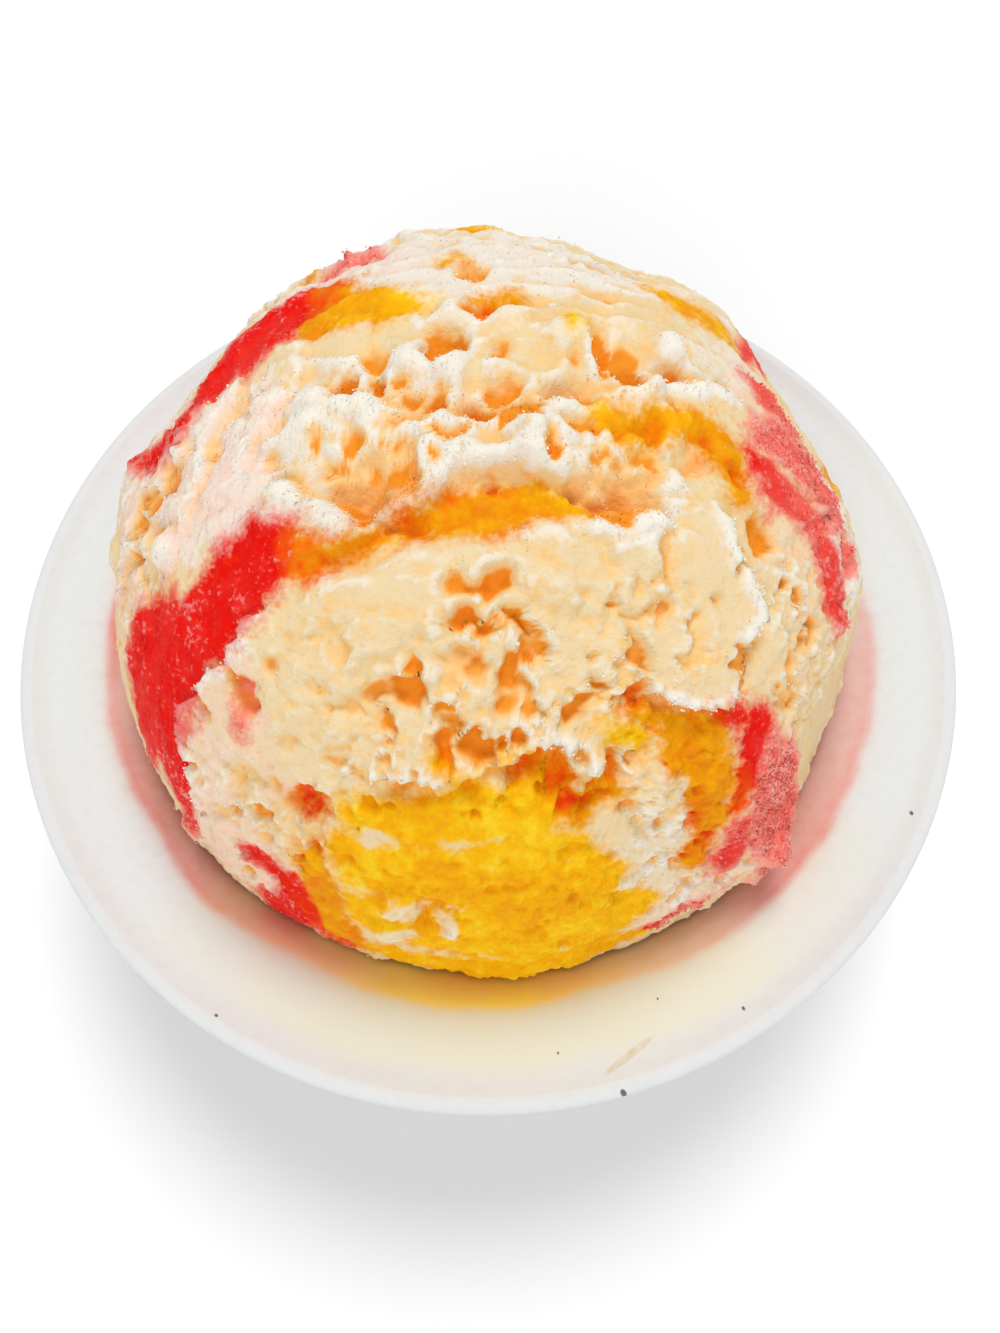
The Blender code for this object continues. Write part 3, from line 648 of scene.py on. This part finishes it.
def disc_directions(steps):
    """Unit vectors spread evenly over the ball down to CAP_ANGLE from its top. A square grid is
    bent into a disc ring by ring, pulled to the front by a Moebius map, and laid over the ball by
    Lambert's equal-area map."""
    u, v = np.meshgrid(np.linspace(-1, 1, steps), np.linspace(-1, 1, steps), indexing="ij")
    wide = np.abs(u) >= np.abs(v)
    longer, shorter = np.where(wide, u, v), np.where(wide, v, u)
    turn = np.pi / 4 * shorter / np.where(longer == 0, 1, longer)
    turn = np.where(wide, turn, np.pi / 2 - turn)
    disc = longer * np.exp(1j * turn)
    pull = -1j * FRONT_PULL
    disc = (disc + pull) / (1 + np.conj(pull) * disc)
    area = np.abs(disc) ** 2 * (1 - np.cos(np.radians(CAP_ANGLE))) / 2
    z = 1 - 2 * area
    flat = np.sqrt(np.maximum(1 - z * z, 0)) / np.maximum(np.abs(disc), 1e-9)
    return np.stack([disc.real * flat, disc.imag * flat, z], -1).reshape(-1, 3)


def tangents(centre):
    """Two unit vectors along the surface at a place: the one nearest +X, and the one that points
    most nearly backwards, along a line that slopes up so that it has a sense on the top too."""
    back = BACKWARDS - BACKWARDS @ centre * centre
    back /= np.linalg.norm(back)
    return np.cross(back, centre), back


def oval(directions, bearing, height, half_across, half_back, turn):
    """Distance from an oval's middle, 1 on its edge, and how far back in it a place lies, from -1
    at its front to 1 at its back. The far side of the ball counts as far off."""
    centre = direction(bearing, height)
    across, back = tangents(centre)
    places = directions * BALL_RADIUS
    x, y = places @ across, places @ back
    c, s = np.cos(np.radians(turn)), np.sin(np.radians(turn))
    along, over = (x * c + y * s) / half_across, (y * c - x * s) / half_back
    return np.hypot(along, over) + 9 * (directions @ centre < 0.2), np.clip(over, -1, 1)


def zone(directions, ovals, ragged):
    """The strongest of several soft ovals at each place; `ragged` makes their edges wander."""
    total = np.zeros(len(directions))
    for *shape, strength in ovals:
        away, _ = oval(directions, *shape)
        total = np.maximum(total, strength * smooth((1.25 - away - ragged) / 0.5))
    return total


def beside_path(places, path):
    """For each place: its distance from a path on the ball, positive on the left, a weight that
    falls from 1 along the path to 0 at its ends, and the direction to the path's left."""
    points = direction(*np.array(path, float).T) * BALL_RADIUS
    nearest = np.full(len(places), np.inf)
    side, share, left = np.ones(len(places)), np.zeros(len(places)), np.zeros_like(places)
    for i, (start, end) in enumerate(zip(points, points[1:])):
        step = end - start
        t = np.clip((places - start) @ step / (step @ step), 0, 1)
        away = places - start - t[:, None] * step
        distance = np.linalg.norm(away, axis=1)
        leftwards = np.cross((start + end) / 2, step)
        leftwards /= np.linalg.norm(leftwards)
        closer = distance < nearest
        nearest = np.where(closer, distance, nearest)
        side = np.where(closer, np.where(away @ leftwards < 0, -1, 1), side)
        share = np.where(closer, (i + t) / (len(points) - 1), share)
        left = np.where(closer[:, None], leftwards, left)
    return nearest * side, smooth(6 * np.minimum(share, 1 - share) + 0.1), left


def cell_pits(places, size, seed, largest):
    """Random round pits: the space is cut into cubes, each holds one point and one radius, and a
    place counts 1 where it is nearer than that radius to the point, 0 far from it."""
    low = np.floor(places / size)
    deepest = np.zeros(len(places))
    for offset in np.ndindex(3, 3, 3):
        cell = low + np.array(offset) - 1
        jitter = np.column_stack([corner_value(cell, seed + k) for k in range(3)])
        centre = (cell + 0.5 + 0.42 * jitter) * size
        radius = largest * size * np.clip(0.4 + 0.6 * corner_value(cell, seed + 3), 0, 1)
        away = np.linalg.norm(places - centre, axis=1)
        deepest = np.maximum(deepest, smooth((radius - away) / (0.16 * size) + 0.5) * (radius > 0.1))
    return deepest


def clumps(places, size, seed):
    """Rounded crumbs of several sizes with creases between them, from about -1 to 1: the
    distance of noise from zero, which is sharp where the noise changes sign."""
    return sum(
        0.6**k * (3.2 * np.abs(noise(places, size / 1.9**k, seed + k)) - 0.8) for k in range(3)
    ) / 1.5


def averaged(values, reach):
    """Values on the square grid, each replaced by the mean of the square of points up to `reach`
    steps round it, which comes from running sums along both ways of the grid."""
    side = 2 * reach + 1
    grid = np.pad(values.reshape(CAP_STEPS, CAP_STEPS), reach + 1, mode="edge")
    total = grid.cumsum(0).cumsum(1)
    box = total[side:, side:] - total[:-side, side:] - total[side:, :-side] + total[:-side, :-side]
    return box[:CAP_STEPS, :CAP_STEPS].ravel() / side**2


def swelling_relief(directions):
    """The ball's broad swellings and flats: each rises by exp(-(angle / reach)^2) of its rise."""
    rise = np.zeros(len(directions))
    for bearing, height, reach, lift in SWELLINGS:
        away = np.degrees(np.arccos(np.clip(directions @ direction(bearing, height), -1, 1)))
        rise += lift * np.exp(-((away / reach) ** 2))
    return rise


def lip_relief(places, wander):
    """How far the lips raise each place, how far their edges lean over sideways, how hollow it is
    under an edge, and how much of a crest it is. Across an edge the surface climbs within the
    face's width, sinks back behind it as exp(-distance / reach), and is dug out in front."""
    rise, hollow, crest = np.zeros((3, len(places)))
    lean = np.zeros_like(places)
    for step, face, reach, over, path in LIPS:
        away, along, left = beside_path(places, path)
        away = away + wander
        edge = smooth(away / face + 0.5)
        behind = np.maximum(away - face / 2, 0)
        raised = edge * (0.48 * np.exp(-behind / reach) + 0.22 * np.exp(-behind / 1.3))
        dug = (1 - edge) * np.exp(np.minimum(away + face / 2, 0) / 2.6)
        rise += step * along * (raised - 0.45 * dug)
        lean -= (over * along * edge * np.exp(-behind / 1.8))[:, None] * left
        # How hollow it is under an edge sets painted shade there in the colours.
        hollow = np.maximum(hollow, 0.5 * along * dug * step / FULL_STEP * (face < 3))
        fresh = min(step / FULL_STEP, 1) ** 2 * along * edge * np.exp(-behind / 1.5)
        crest = np.maximum(crest, fresh)
    return rise, lean, hollow, crest


def lump_relief(directions, wander):
    """The round lumps: 1.25 lift smooth(1.3 - distance / radius)^0.8, steep at the foot and broad
    on top."""
    rise = np.zeros(len(directions))
    for bearing, height, radius, lift in LUMPS:
        away, _ = oval(directions, bearing, height, radius, radius, 0)
        rise += 1.25 * lift * smooth(1.3 - away - wander) ** 0.8
    return rise


def pocket_relief(directions, fine):
    """How far the pockets lower each place, how much of that is in holes that go straight in, how
    far a place lies in a small pocket, how hollow it is, and the raised brow in front of it. Near
    the ball's top a pocket slopes: it is deep and steep at its front and runs out to the back."""
    sunk, punched, filled, hollow, brows, crest = np.zeros((6, len(directions)))
    for bearing, height, *shape, depth in POCKETS:
        away, back = oval(directions, bearing, height, *shape)
        sloping = smooth((height - 60) / 12)
        away = away + (0.26 - 0.18 * sloping) * fine
        size = min(shape[:2])
        inside = smooth((1 - away) * size / (1.3 + 0.8 * sloping * back) + 0.5)
        dug = depth * inside * (1 - sloping * (0.1 + 0.75 * back))
        sunk = np.maximum(sunk, dug)
        punched = np.maximum(punched, dug * (1 - sloping))
        filled = np.maximum(filled, inside * (size < 2.7))
        # How hollow a pocket is sets painted shade there in the colours.
        hollow = np.maximum(hollow, dug / 2.1 * min(1, 2.8 / size))
        brow = np.exp(-(((away - 1.3) / 0.3) ** 2)) * smooth(0.3 - back) * sloping
        brows += 0.24 * depth * brow
        crest = np.maximum(crest, 0.8 * brow)
    return brows - sunk, punched, filled, hollow, crest


def shingle_relief(places):
    """Scraped shingles that climb slowly to the back and drop at once: a smoothed saw tooth along
    Y whose rows wander. Gives their rise, from -1/2 to 1/2, and how near its low front a place
    lies, squared."""
    saw = (places[:, 1] + 2.4 * noise(places, 8, 71) + 1.2 * noise(places, 3.4, 72)) / SHINGLE_PITCH
    saw -= np.floor(saw)
    return smooth(saw / 0.85) * smooth((1 - saw) / 0.18) - 0.5, (1 - saw) ** 2


def shaped(directions):
    """The ice's surface along each direction, in millimetres, and what it is like there. The
    relief of every kind is added up along the direction, and lips lean sideways too. `hollow` and
    `dip` say how far a place lies below the skin and below its neighbours, for the painted shade and
    highlight in the colours."""
    places = directions * BALL_RADIUS
    upwards = directions[:, 2]
    wander = rough(places, 3.2, 21, 3)
    fine = rough(places, 1.7, 41, 3)
    swirl = np.stack([rough(places, 2.8, seed, 3) for seed in (101, 111, 121)], -1)
    torn = places + 1.2 * swirl
    torn /= np.linalg.norm(torn, axis=1)[:, None]

    lips, lean, under_lip, crest = lip_relief(places, 1.2 * wander + 0.14 * fine)
    pockets, punched, filled, in_pocket, brow = pocket_relief(torn, fine)
    rise = swelling_relief(directions) + lips + lump_relief(directions, 0.2 * wander) + pockets
    crest = np.maximum(crest, brow)

    # Crumbly ground is full of round cells, except in small pockets, whose floors are clean.
    crumbly = zone(directions, CRUMBLY, 0.25 * wander)
    open_skin = 1 - filled
    ragged = places + 0.6 * swirl
    large = cell_pits(ragged, LARGE_CELL, 51, 0.52) * crumbly
    small = cell_pits(ragged + 40, SMALL_CELL, 61, 0.46) * (0.35 + 0.65 * crumbly)
    rise -= open_skin * (LARGE_CELL_DEPTH * large + SMALL_CELL_DEPTH * small)
    # Hollows of every kind get painted shade in the colours.
    hollow = np.maximum(under_lip, in_pocket)
    hollow = np.maximum(hollow, open_skin * (0.75 * large + 0.36 * small))

    # The top has melted a little: its sharpest edges are averaged away. Shingles cover it.
    rise += smooth((upwards - 0.86) / 0.05) * (averaged(rise, 1) - rise)
    shingle, shadow = shingle_relief(places)
    shingled = smooth((upwards - 0.80) / 0.1)
    rise += shingled * open_skin * SHINGLE_RISE * shingle
    # Painted shade at the shingles' low fronts.
    hollow = np.maximum(hollow, 0.22 * shingled * shadow)

    # Crumbs of three sizes are coarser where the ice is crumbly, frosty, torn or soaked.
    stained = syrup_at(places + 0.5 * swirl)
    frost = zone(directions, FROSTED, 0.3 * wander)
    white = np.maximum(frost, crest)
    slush = smooth(stained["hue"] - 3.3) * smooth(stained["syrup"] * 2 - 0.6)
    soaked = smooth(stained["syrup"] * 2 - 0.5)
    rise += 0.45 * rough(places, 9, 1, 2)
    coarse = 0.10 + 0.30 * crumbly + 0.10 * crest + 0.10 * slush + 0.10 * soaked
    rise += coarse * clumps(places, COARSE_CRUMB, 5)
    finer = 0.05 + 0.12 * crumbly + 0.06 * white + 0.30 * slush + 0.08 * soaked
    rise += finer * clumps(places, FINE_CRUMB, 15)
    rise += (0.04 + 0.12 * white + 0.12 * slush) * noise(places, GRAIN, 25)
    rise += smooth((0.22 - upwards) / 0.16) * (0.35 * clumps(places, 3.4, 35) - 0.2)

    # A dip is a place below the mean of its neighbours, taken over three distances. The colours paint
    # shade in dips and highlight on raised places from it.
    skin = rise + 0.8 * punched
    dip = sum((averaged(skin, reach) - skin) / scale for reach, scale in ((1, 0.3), (3, 0.5), (8, 1.8)))
    bare = smooth((upwards + 0.10) / 0.12)[:, None]
    points = BALL_CENTRE + directions * (BALL_RADIUS + rise[:, None] * bare) + lean * bare
    kept = {
        "hollow": np.clip(hollow, 0, 1.3), "dip": np.clip(dip / 2, -1, 1), "crest": crest,
        "frost": np.maximum(frost, 0.95 * crest), "slush": slush,
        "blush": zone(directions, BLUSHED, 0.3 * wander), **stained,
    }
    return points, kept


def syrup_at(places):
    """How far inside the syrup's strokes each place lies, 0.5 at their edge, and its hue there. A
    stroke's half-width and hue run evenly between its places, and the hue where strokes meet is
    their mean, weighted by exp(2.5 depth)."""
    wander = 1.3 * rough(places, 5.5, 91, 5)
    inside = np.full(len(places), -9.0)
    hue, share = np.zeros(len(places)), np.full(len(places), 1e-9)
    for stroke in SYRUP:
        points = direction(*np.array(stroke, float)[:, :2].T) * BALL_RADIUS
        for (start, end), (*_, w0, h0), (*_, w1, h1) in zip(
            zip(points, points[1:]), stroke, stroke[1:]
        ):
            step = end - start
            t = np.clip((places - start) @ step / max(step @ step, 1e-9), 0, 1)
            away = np.linalg.norm(places - start - t[:, None] * step, axis=1)
            depth = w0 + (w1 - w0) * t - away
            weight = np.exp(2.5 * np.clip(depth + 2, 0, 8)) - 1
            hue += weight * (h0 + (h1 - h0) * t)
            share += weight
            inside = np.maximum(inside, depth)
    over = np.zeros(len(places))
    for shape in OVER_SYRUP:
        away, _ = oval(places / BALL_RADIUS, *shape)
        over = np.maximum(over, smooth((1.3 - away - 0.45 * wander) * 1.6))
    amount = np.clip((inside + wander) / 4 + 0.5, 0, 1) * (1 - 0.9 * over)
    return {"syrup": amount, "hue": hue / share}


def well_radius(height):
    """The radius of the bowl's inner face at a height, and the whole bowl's above the shoulder."""
    wall = bowl_wall_line()[1:]
    wall = wall[wall[:, 0] < WELL_RADIUS + 6]
    wall = wall[: np.argmax(wall[:, 1]) + 1]
    return np.interp(height, wall[:, 1], wall[:, 0], right=BOWL_RADIUS)


def seated(points):
    """Draws points in until they lie clear of the bowl's inner face and floor."""
    points[:, 2] = np.maximum(points[:, 2], WALL + SEAT_GAP)
    room = well_radius(points[:, 2] - SEAT_GAP) - SEAT_GAP
    radius = np.maximum(np.hypot(points[:, 0], points[:, 1]), 1e-9)
    points[:, :2] *= np.minimum(1, room / radius)[:, None]
    return points


def grid_border(steps):
    """The numbers of a square grid's outer points, in order round it."""
    number = np.arange(steps * steps).reshape(steps, steps)
    return np.r_[number[0, :-1], number[:-1, -1], number[-1, :0:-1], number[:0:-1, 0]]


def ice_surface():
    """The open cap of the ball as a bent grid, closed below by rings that go from its border down
    beside the bowl's wall to the floor, and by a fan to one point in the middle."""
    cap, kept = shaped(disc_directions(CAP_STEPS))
    cap = seated(cap)
    border = grid_border(CAP_STEPS)
    rim = cap[border]
    around = rim[:, :2] / np.hypot(rim[:, 0], rim[:, 1])[:, None]
    heights = (20.0, 6.0, WALL + SEAT_GAP)
    lower = [
        np.column_stack([
            around * (well_radius(height - SEAT_GAP) - 2 * SEAT_GAP), np.full(len(rim), height)
        ])
        for height in heights
    ]
    points = np.vstack([cap, *lower, [(0, 0, WALL + SEAT_GAP)]])
    number = np.arange(CAP_STEPS**2).reshape(CAP_STEPS, CAP_STEPS)
    quads = np.stack([number[:-1, :-1], number[1:, :-1], number[1:, 1:], number[:-1, 1:]], -1)
    rings = [border]
    rings += [len(cap) + k * len(rim) + np.arange(len(rim)) for k in range(len(heights))]
    faces = [*quads.reshape(-1, 4)]
    for upper, under in zip(rings, rings[1:]):
        faces += [*np.stack([upper, np.roll(upper, -1), np.roll(under, -1), under], -1)]
    last = rings[-1]
    faces += [*np.stack([last, np.roll(last, -1), np.full(len(last), len(points) - 1)], -1)]
    extra = len(points) - len(cap)
    kept = {key: np.r_[values, np.zeros(extra)] for key, values in kept.items()}
    return points, faces, kept


def ice_finish(name, frosting=0.0):
    """Creamy ice: mottled cream, with a painted highlight, partly frost, that makes it paler on every
    edge, and painted shade, partly syrup that collects there, that makes it tan to orange in dips and
    hollows; white where it is frosty, and syrup whose ragged edge comes from noise finer than the
    mesh and whose hue is painted deeper in hollows. With `frosting` it is whiter all over."""
    made = Finish(name, Specular_IOR_Level=0.04)
    grit = made.speckle(0.35, 2) - 0.5
    mottle = made.speckle(1.2, 4) - 0.5
    pore = made.speckle(0.7, 2) - 0.5
    cloud = made.speckle(5.0, 3) - 0.5
    dip = made.attribute("dip") + grit * 0.5 - frosting
    hollow = made.attribute("hollow") + mottle * 0.35 + dip * 0.1
    frost = made.attribute("frost") + frosting
    blush = made.attribute("blush") + mottle * 0.8 + dip * 0.4

    patch = mottle + cloud * 0.6 + grit * 0.4
    cream = made.mix(CREAM, MOTTLE_AND_SHADE_TAN, patch.step(-0.03, 0.22) * 0.7)
    # Painted shade: darker tan in dips, which lie below the mean of their neighbours.
    cream = made.mix(cream, MOTTLE_AND_SHADE_TAN, dip.step(0.0, 0.8) * 0.7)
    cream = made.mix(cream, SHADE_AND_SPECK_TAN, (pore + cloud * 0.2).step(0.10, 0.22) * 0.7)
    # Partly painted highlight and shade: frost shows more on raised places and less in dips.
    cream = made.mix(cream, FROST, (frost + mottle * 0.9 - dip * 0.4).step(0.15, 0.9) * 0.85)
    # Painted highlight, partly frost: paler on places raised above their neighbours.
    cream = made.mix(cream, EDGE_HIGHLIGHT_AND_FROST, (dip * -1.0).step(0.12, 0.85) * (0.5 + frost * 0.35))
    # Partly painted shade: the pink blush is stronger in dips.
    cream = made.mix(cream, FROST_PINK, blush.step(0.15, 1.1) * 0.75)
    # Painted shade, partly syrup that collects there: tan to deep orange in hollows, pits and under
    # lips.
    cream = made.mix(cream, SHADE_AND_SPECK_TAN, hollow.step(0.08, 0.5) * 0.9)
    cream = made.mix(cream, DEEP_SHADE_AND_SYRUP, hollow.step(0.36, 0.92) * 0.95)

    level = made.attribute("hue")
    red = level.step(1.6, 2.6)
    wobble = cloud * 1.9 + mottle * 1.8 + grit * 0.5 + dip * 0.2
    # Painted shade: the syrup's hue runs deeper towards red in hollows and dips.
    hue = level + (wobble + made.attribute("hollow") * 0.9) * (1 - red * 0.7)
    syrup = made.node("ShaderNodeValToRGB", {"stops": SYRUP_STOPS}, {"Fac": hue * 0.25})
    glint = grit * 1.3 + cloud + mottle * 0.5 - dip * 0.2 + made.attribute("slush") * 0.1
    clear = glint.step(0.08, 0.45) * (0.01 + red * 0.3) + frosting * 0.2
    syrup = made.mix(syrup, FROST, clear)

    spread = made.attribute("syrup") + mottle * 0.8 + grit * 0.7 + cloud * 0.3
    cream = made.mix(cream, syrup, spread.step(0.02, 0.5) * (0.4 + red * 0.1))
    colour = made.mix(cream, syrup, spread.step(0.34, 0.84))
    return made.done(colour, 0.6 + 0.3 * grit, mottle * 0.3 - pore * 0.25 + grit * 0.3)


ice_points, ice_faces, ice_kept = ice_surface()
ice = piece("scraped_ice", ice_points, ice_faces, ice_kept)
ice.data.materials.append(ice_finish("scraped_ice"))
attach(ice, "root")
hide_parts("ice")

# ------------------------------------------------------------------ crumbs and crystals
# Crumbs cling along the torn edges, frost has settled on the left and the top, and the syrup's
# slush is a heap of clear red grains. Each kind is one mesh of separate crystals.

TOP_MARGIN = 1.0
CORNERS = 6
EIGHT_SIDES = np.array(
    [(0, 1, 2), (1, 3, 2), (3, 4, 2), (4, 0, 2), (1, 0, 5), (3, 1, 5), (4, 3, 5), (0, 4, 5)]
)

loose_ice = ice_finish("loose_crystals", frosting=0.25)


def crystal_cloud(name, count, size, weight, lift, seed):
    """Loose crystals on the ice, each on a place drawn by weight, whose colour and wetness it
    takes. A crystal has eight sides and three uneven half-widths of up to about `size`; the
    shortest points roughly away from the ice. It sits `lift` half-widths above the surface."""
    draw = np.random.default_rng(seed)
    height = ice_points[:, 2]
    weight = weight * (height > BOWL_HEIGHT * 0.8) * (height < cad_high[2] / MM - TOP_MARGIN)
    chosen = draw.choice(len(weight), count, p=weight / weight.sum())
    radial = ice_points[chosen] - BALL_CENTRE
    radial /= np.linalg.norm(radial, axis=1)[:, None]
    half = size * draw.uniform(0.45, 1.0, count)
    centre = ice_points[chosen] + draw.normal(0, 0.2, (count, 3)) + radial * (lift * half)[:, None]
    first = radial + 0.5 * draw.normal(size=(count, 3))
    first /= np.linalg.norm(first, axis=1)[:, None]
    second = np.cross(first, draw.normal(size=(count, 3)))
    second /= np.linalg.norm(second, axis=1)[:, None]
    axes = np.stack([first, second, np.cross(first, second)], 1)
    spans = draw.uniform(0.7, 1.2, (count, 3)) * (0.5, 1, 1)
    axes = axes * (half[:, None] * spans)[:, :, None]
    corners = np.concatenate([centre[:, None] + axes, centre[:, None] - axes], 1)
    faces = (EIGHT_SIDES + CORNERS * np.arange(count)[:, None, None]).reshape(-1, 3)
    kept = {key: np.repeat(values[chosen], CORNERS) for key, values in ice_kept.items()}
    made = piece(name, corners.reshape(-1, 3), faces, kept)
    made.data.shade_flat()
    made.data.materials.append(loose_ice)
    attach(made, "root")


unstained = 0.01 + (1 - smooth(ice_kept["syrup"] * 3 - 0.8))
ridges = ice_kept["crest"] ** 2 + 0.15 * np.clip(-ice_kept["dip"], 0, 1) ** 2
frosty = (ice_kept["frost"] ** 2 + 0.01) * smooth(ice_points[:, 2] / 20 - 2.6)
slushy = ice_kept["syrup"] ** 3 * ice_kept["slush"]
crystal_cloud("edge_crumbs", 2400, 0.24, ridges * unstained, lift=-0.3, seed=11)
crystal_cloud("frost_crystals", 3000, 0.22, frosty * unstained, lift=-0.4, seed=12)
crystal_cloud("slush_crystals", 6000, 0.30, slushy, lift=0.2, seed=13)

# ------------------------------------------------------------------ floor, light and camera
# A pale matt sheet under the bowl, even light from all round, and two broad lamps so far off that
# the ball's top is lit no more than the sheet. The camera looks steeply down from close by.

FLOOR_HALF = 3000.0
SHEET_PALE, SHEET_DULL = (0.95, 0.95, 0.95), (0.94, 0.94, 0.94)
ROOM_LIGHT = 0.545
LIT_PLACE = (0, 0, 0.05)
CAMERA_PLACE = (0.0019, -0.0770, 0.1896)
CAMERA_TILT = 24.61
CAMERA_LENS, CAMERA_SENSOR = 26.0, 36.0

floor_corners = FLOOR_HALF * np.array([(-1, -1, 0), (1, -1, 0), (1, 1, 0), (-1, 1, 0)])
floor = piece("pale_floor", floor_corners, np.array([[0, 1, 2, 3]]))
sheet = Finish("pale_sheet", Specular_IOR_Level=0.0)
floor.data.materials.append(
    sheet.done(sheet.mix(SHEET_PALE, SHEET_DULL, sheet.speckle(60, 2)), roughness=0.9)
)

world = bpy.data.worlds.new("soft_room")
world.use_nodes = True
world.node_tree.nodes["Background"].inputs["Color"].default_value = (1, 1, 1, 1)
world.node_tree.nodes["Background"].inputs["Strength"].default_value = ROOM_LIGHT
bpy.context.scene.world = world


def lamp(name, place, width, watts):
    """A round lamp that faces the ball from its place."""
    data = bpy.data.lights.new(name, "AREA")
    data.shape = "DISK"
    data.size = width
    data.energy = watts
    made = bpy.data.objects.new(name, data)
    made.location = place
    away = Vector(place) - Vector(LIT_PLACE)
    made.rotation_euler = away.to_track_quat("Z", "Y").to_euler()
    bpy.context.scene.collection.objects.link(made)


lamp("high_lamp", place=(0.25, 1.3, 2.7), width=1.4, watts=44.0)
lamp("front_lamp", place=(-0.35, -2.7, 1.5), width=2.0, watts=32.0)

camera_data = bpy.data.cameras.new("camera")
camera_data.lens = CAMERA_LENS
camera_data.sensor_width = CAMERA_SENSOR
camera_data.clip_start = 0.01
camera_data.clip_end = 10.0
camera = bpy.data.objects.new("camera", camera_data)
camera.location = CAMERA_PLACE
camera.rotation_euler = (np.radians(CAMERA_TILT), 0, 0)
bpy.context.scene.collection.objects.link(camera)
bpy.context.scene.camera = camera
bpy.context.scene.view_settings.view_transform = "Standard"
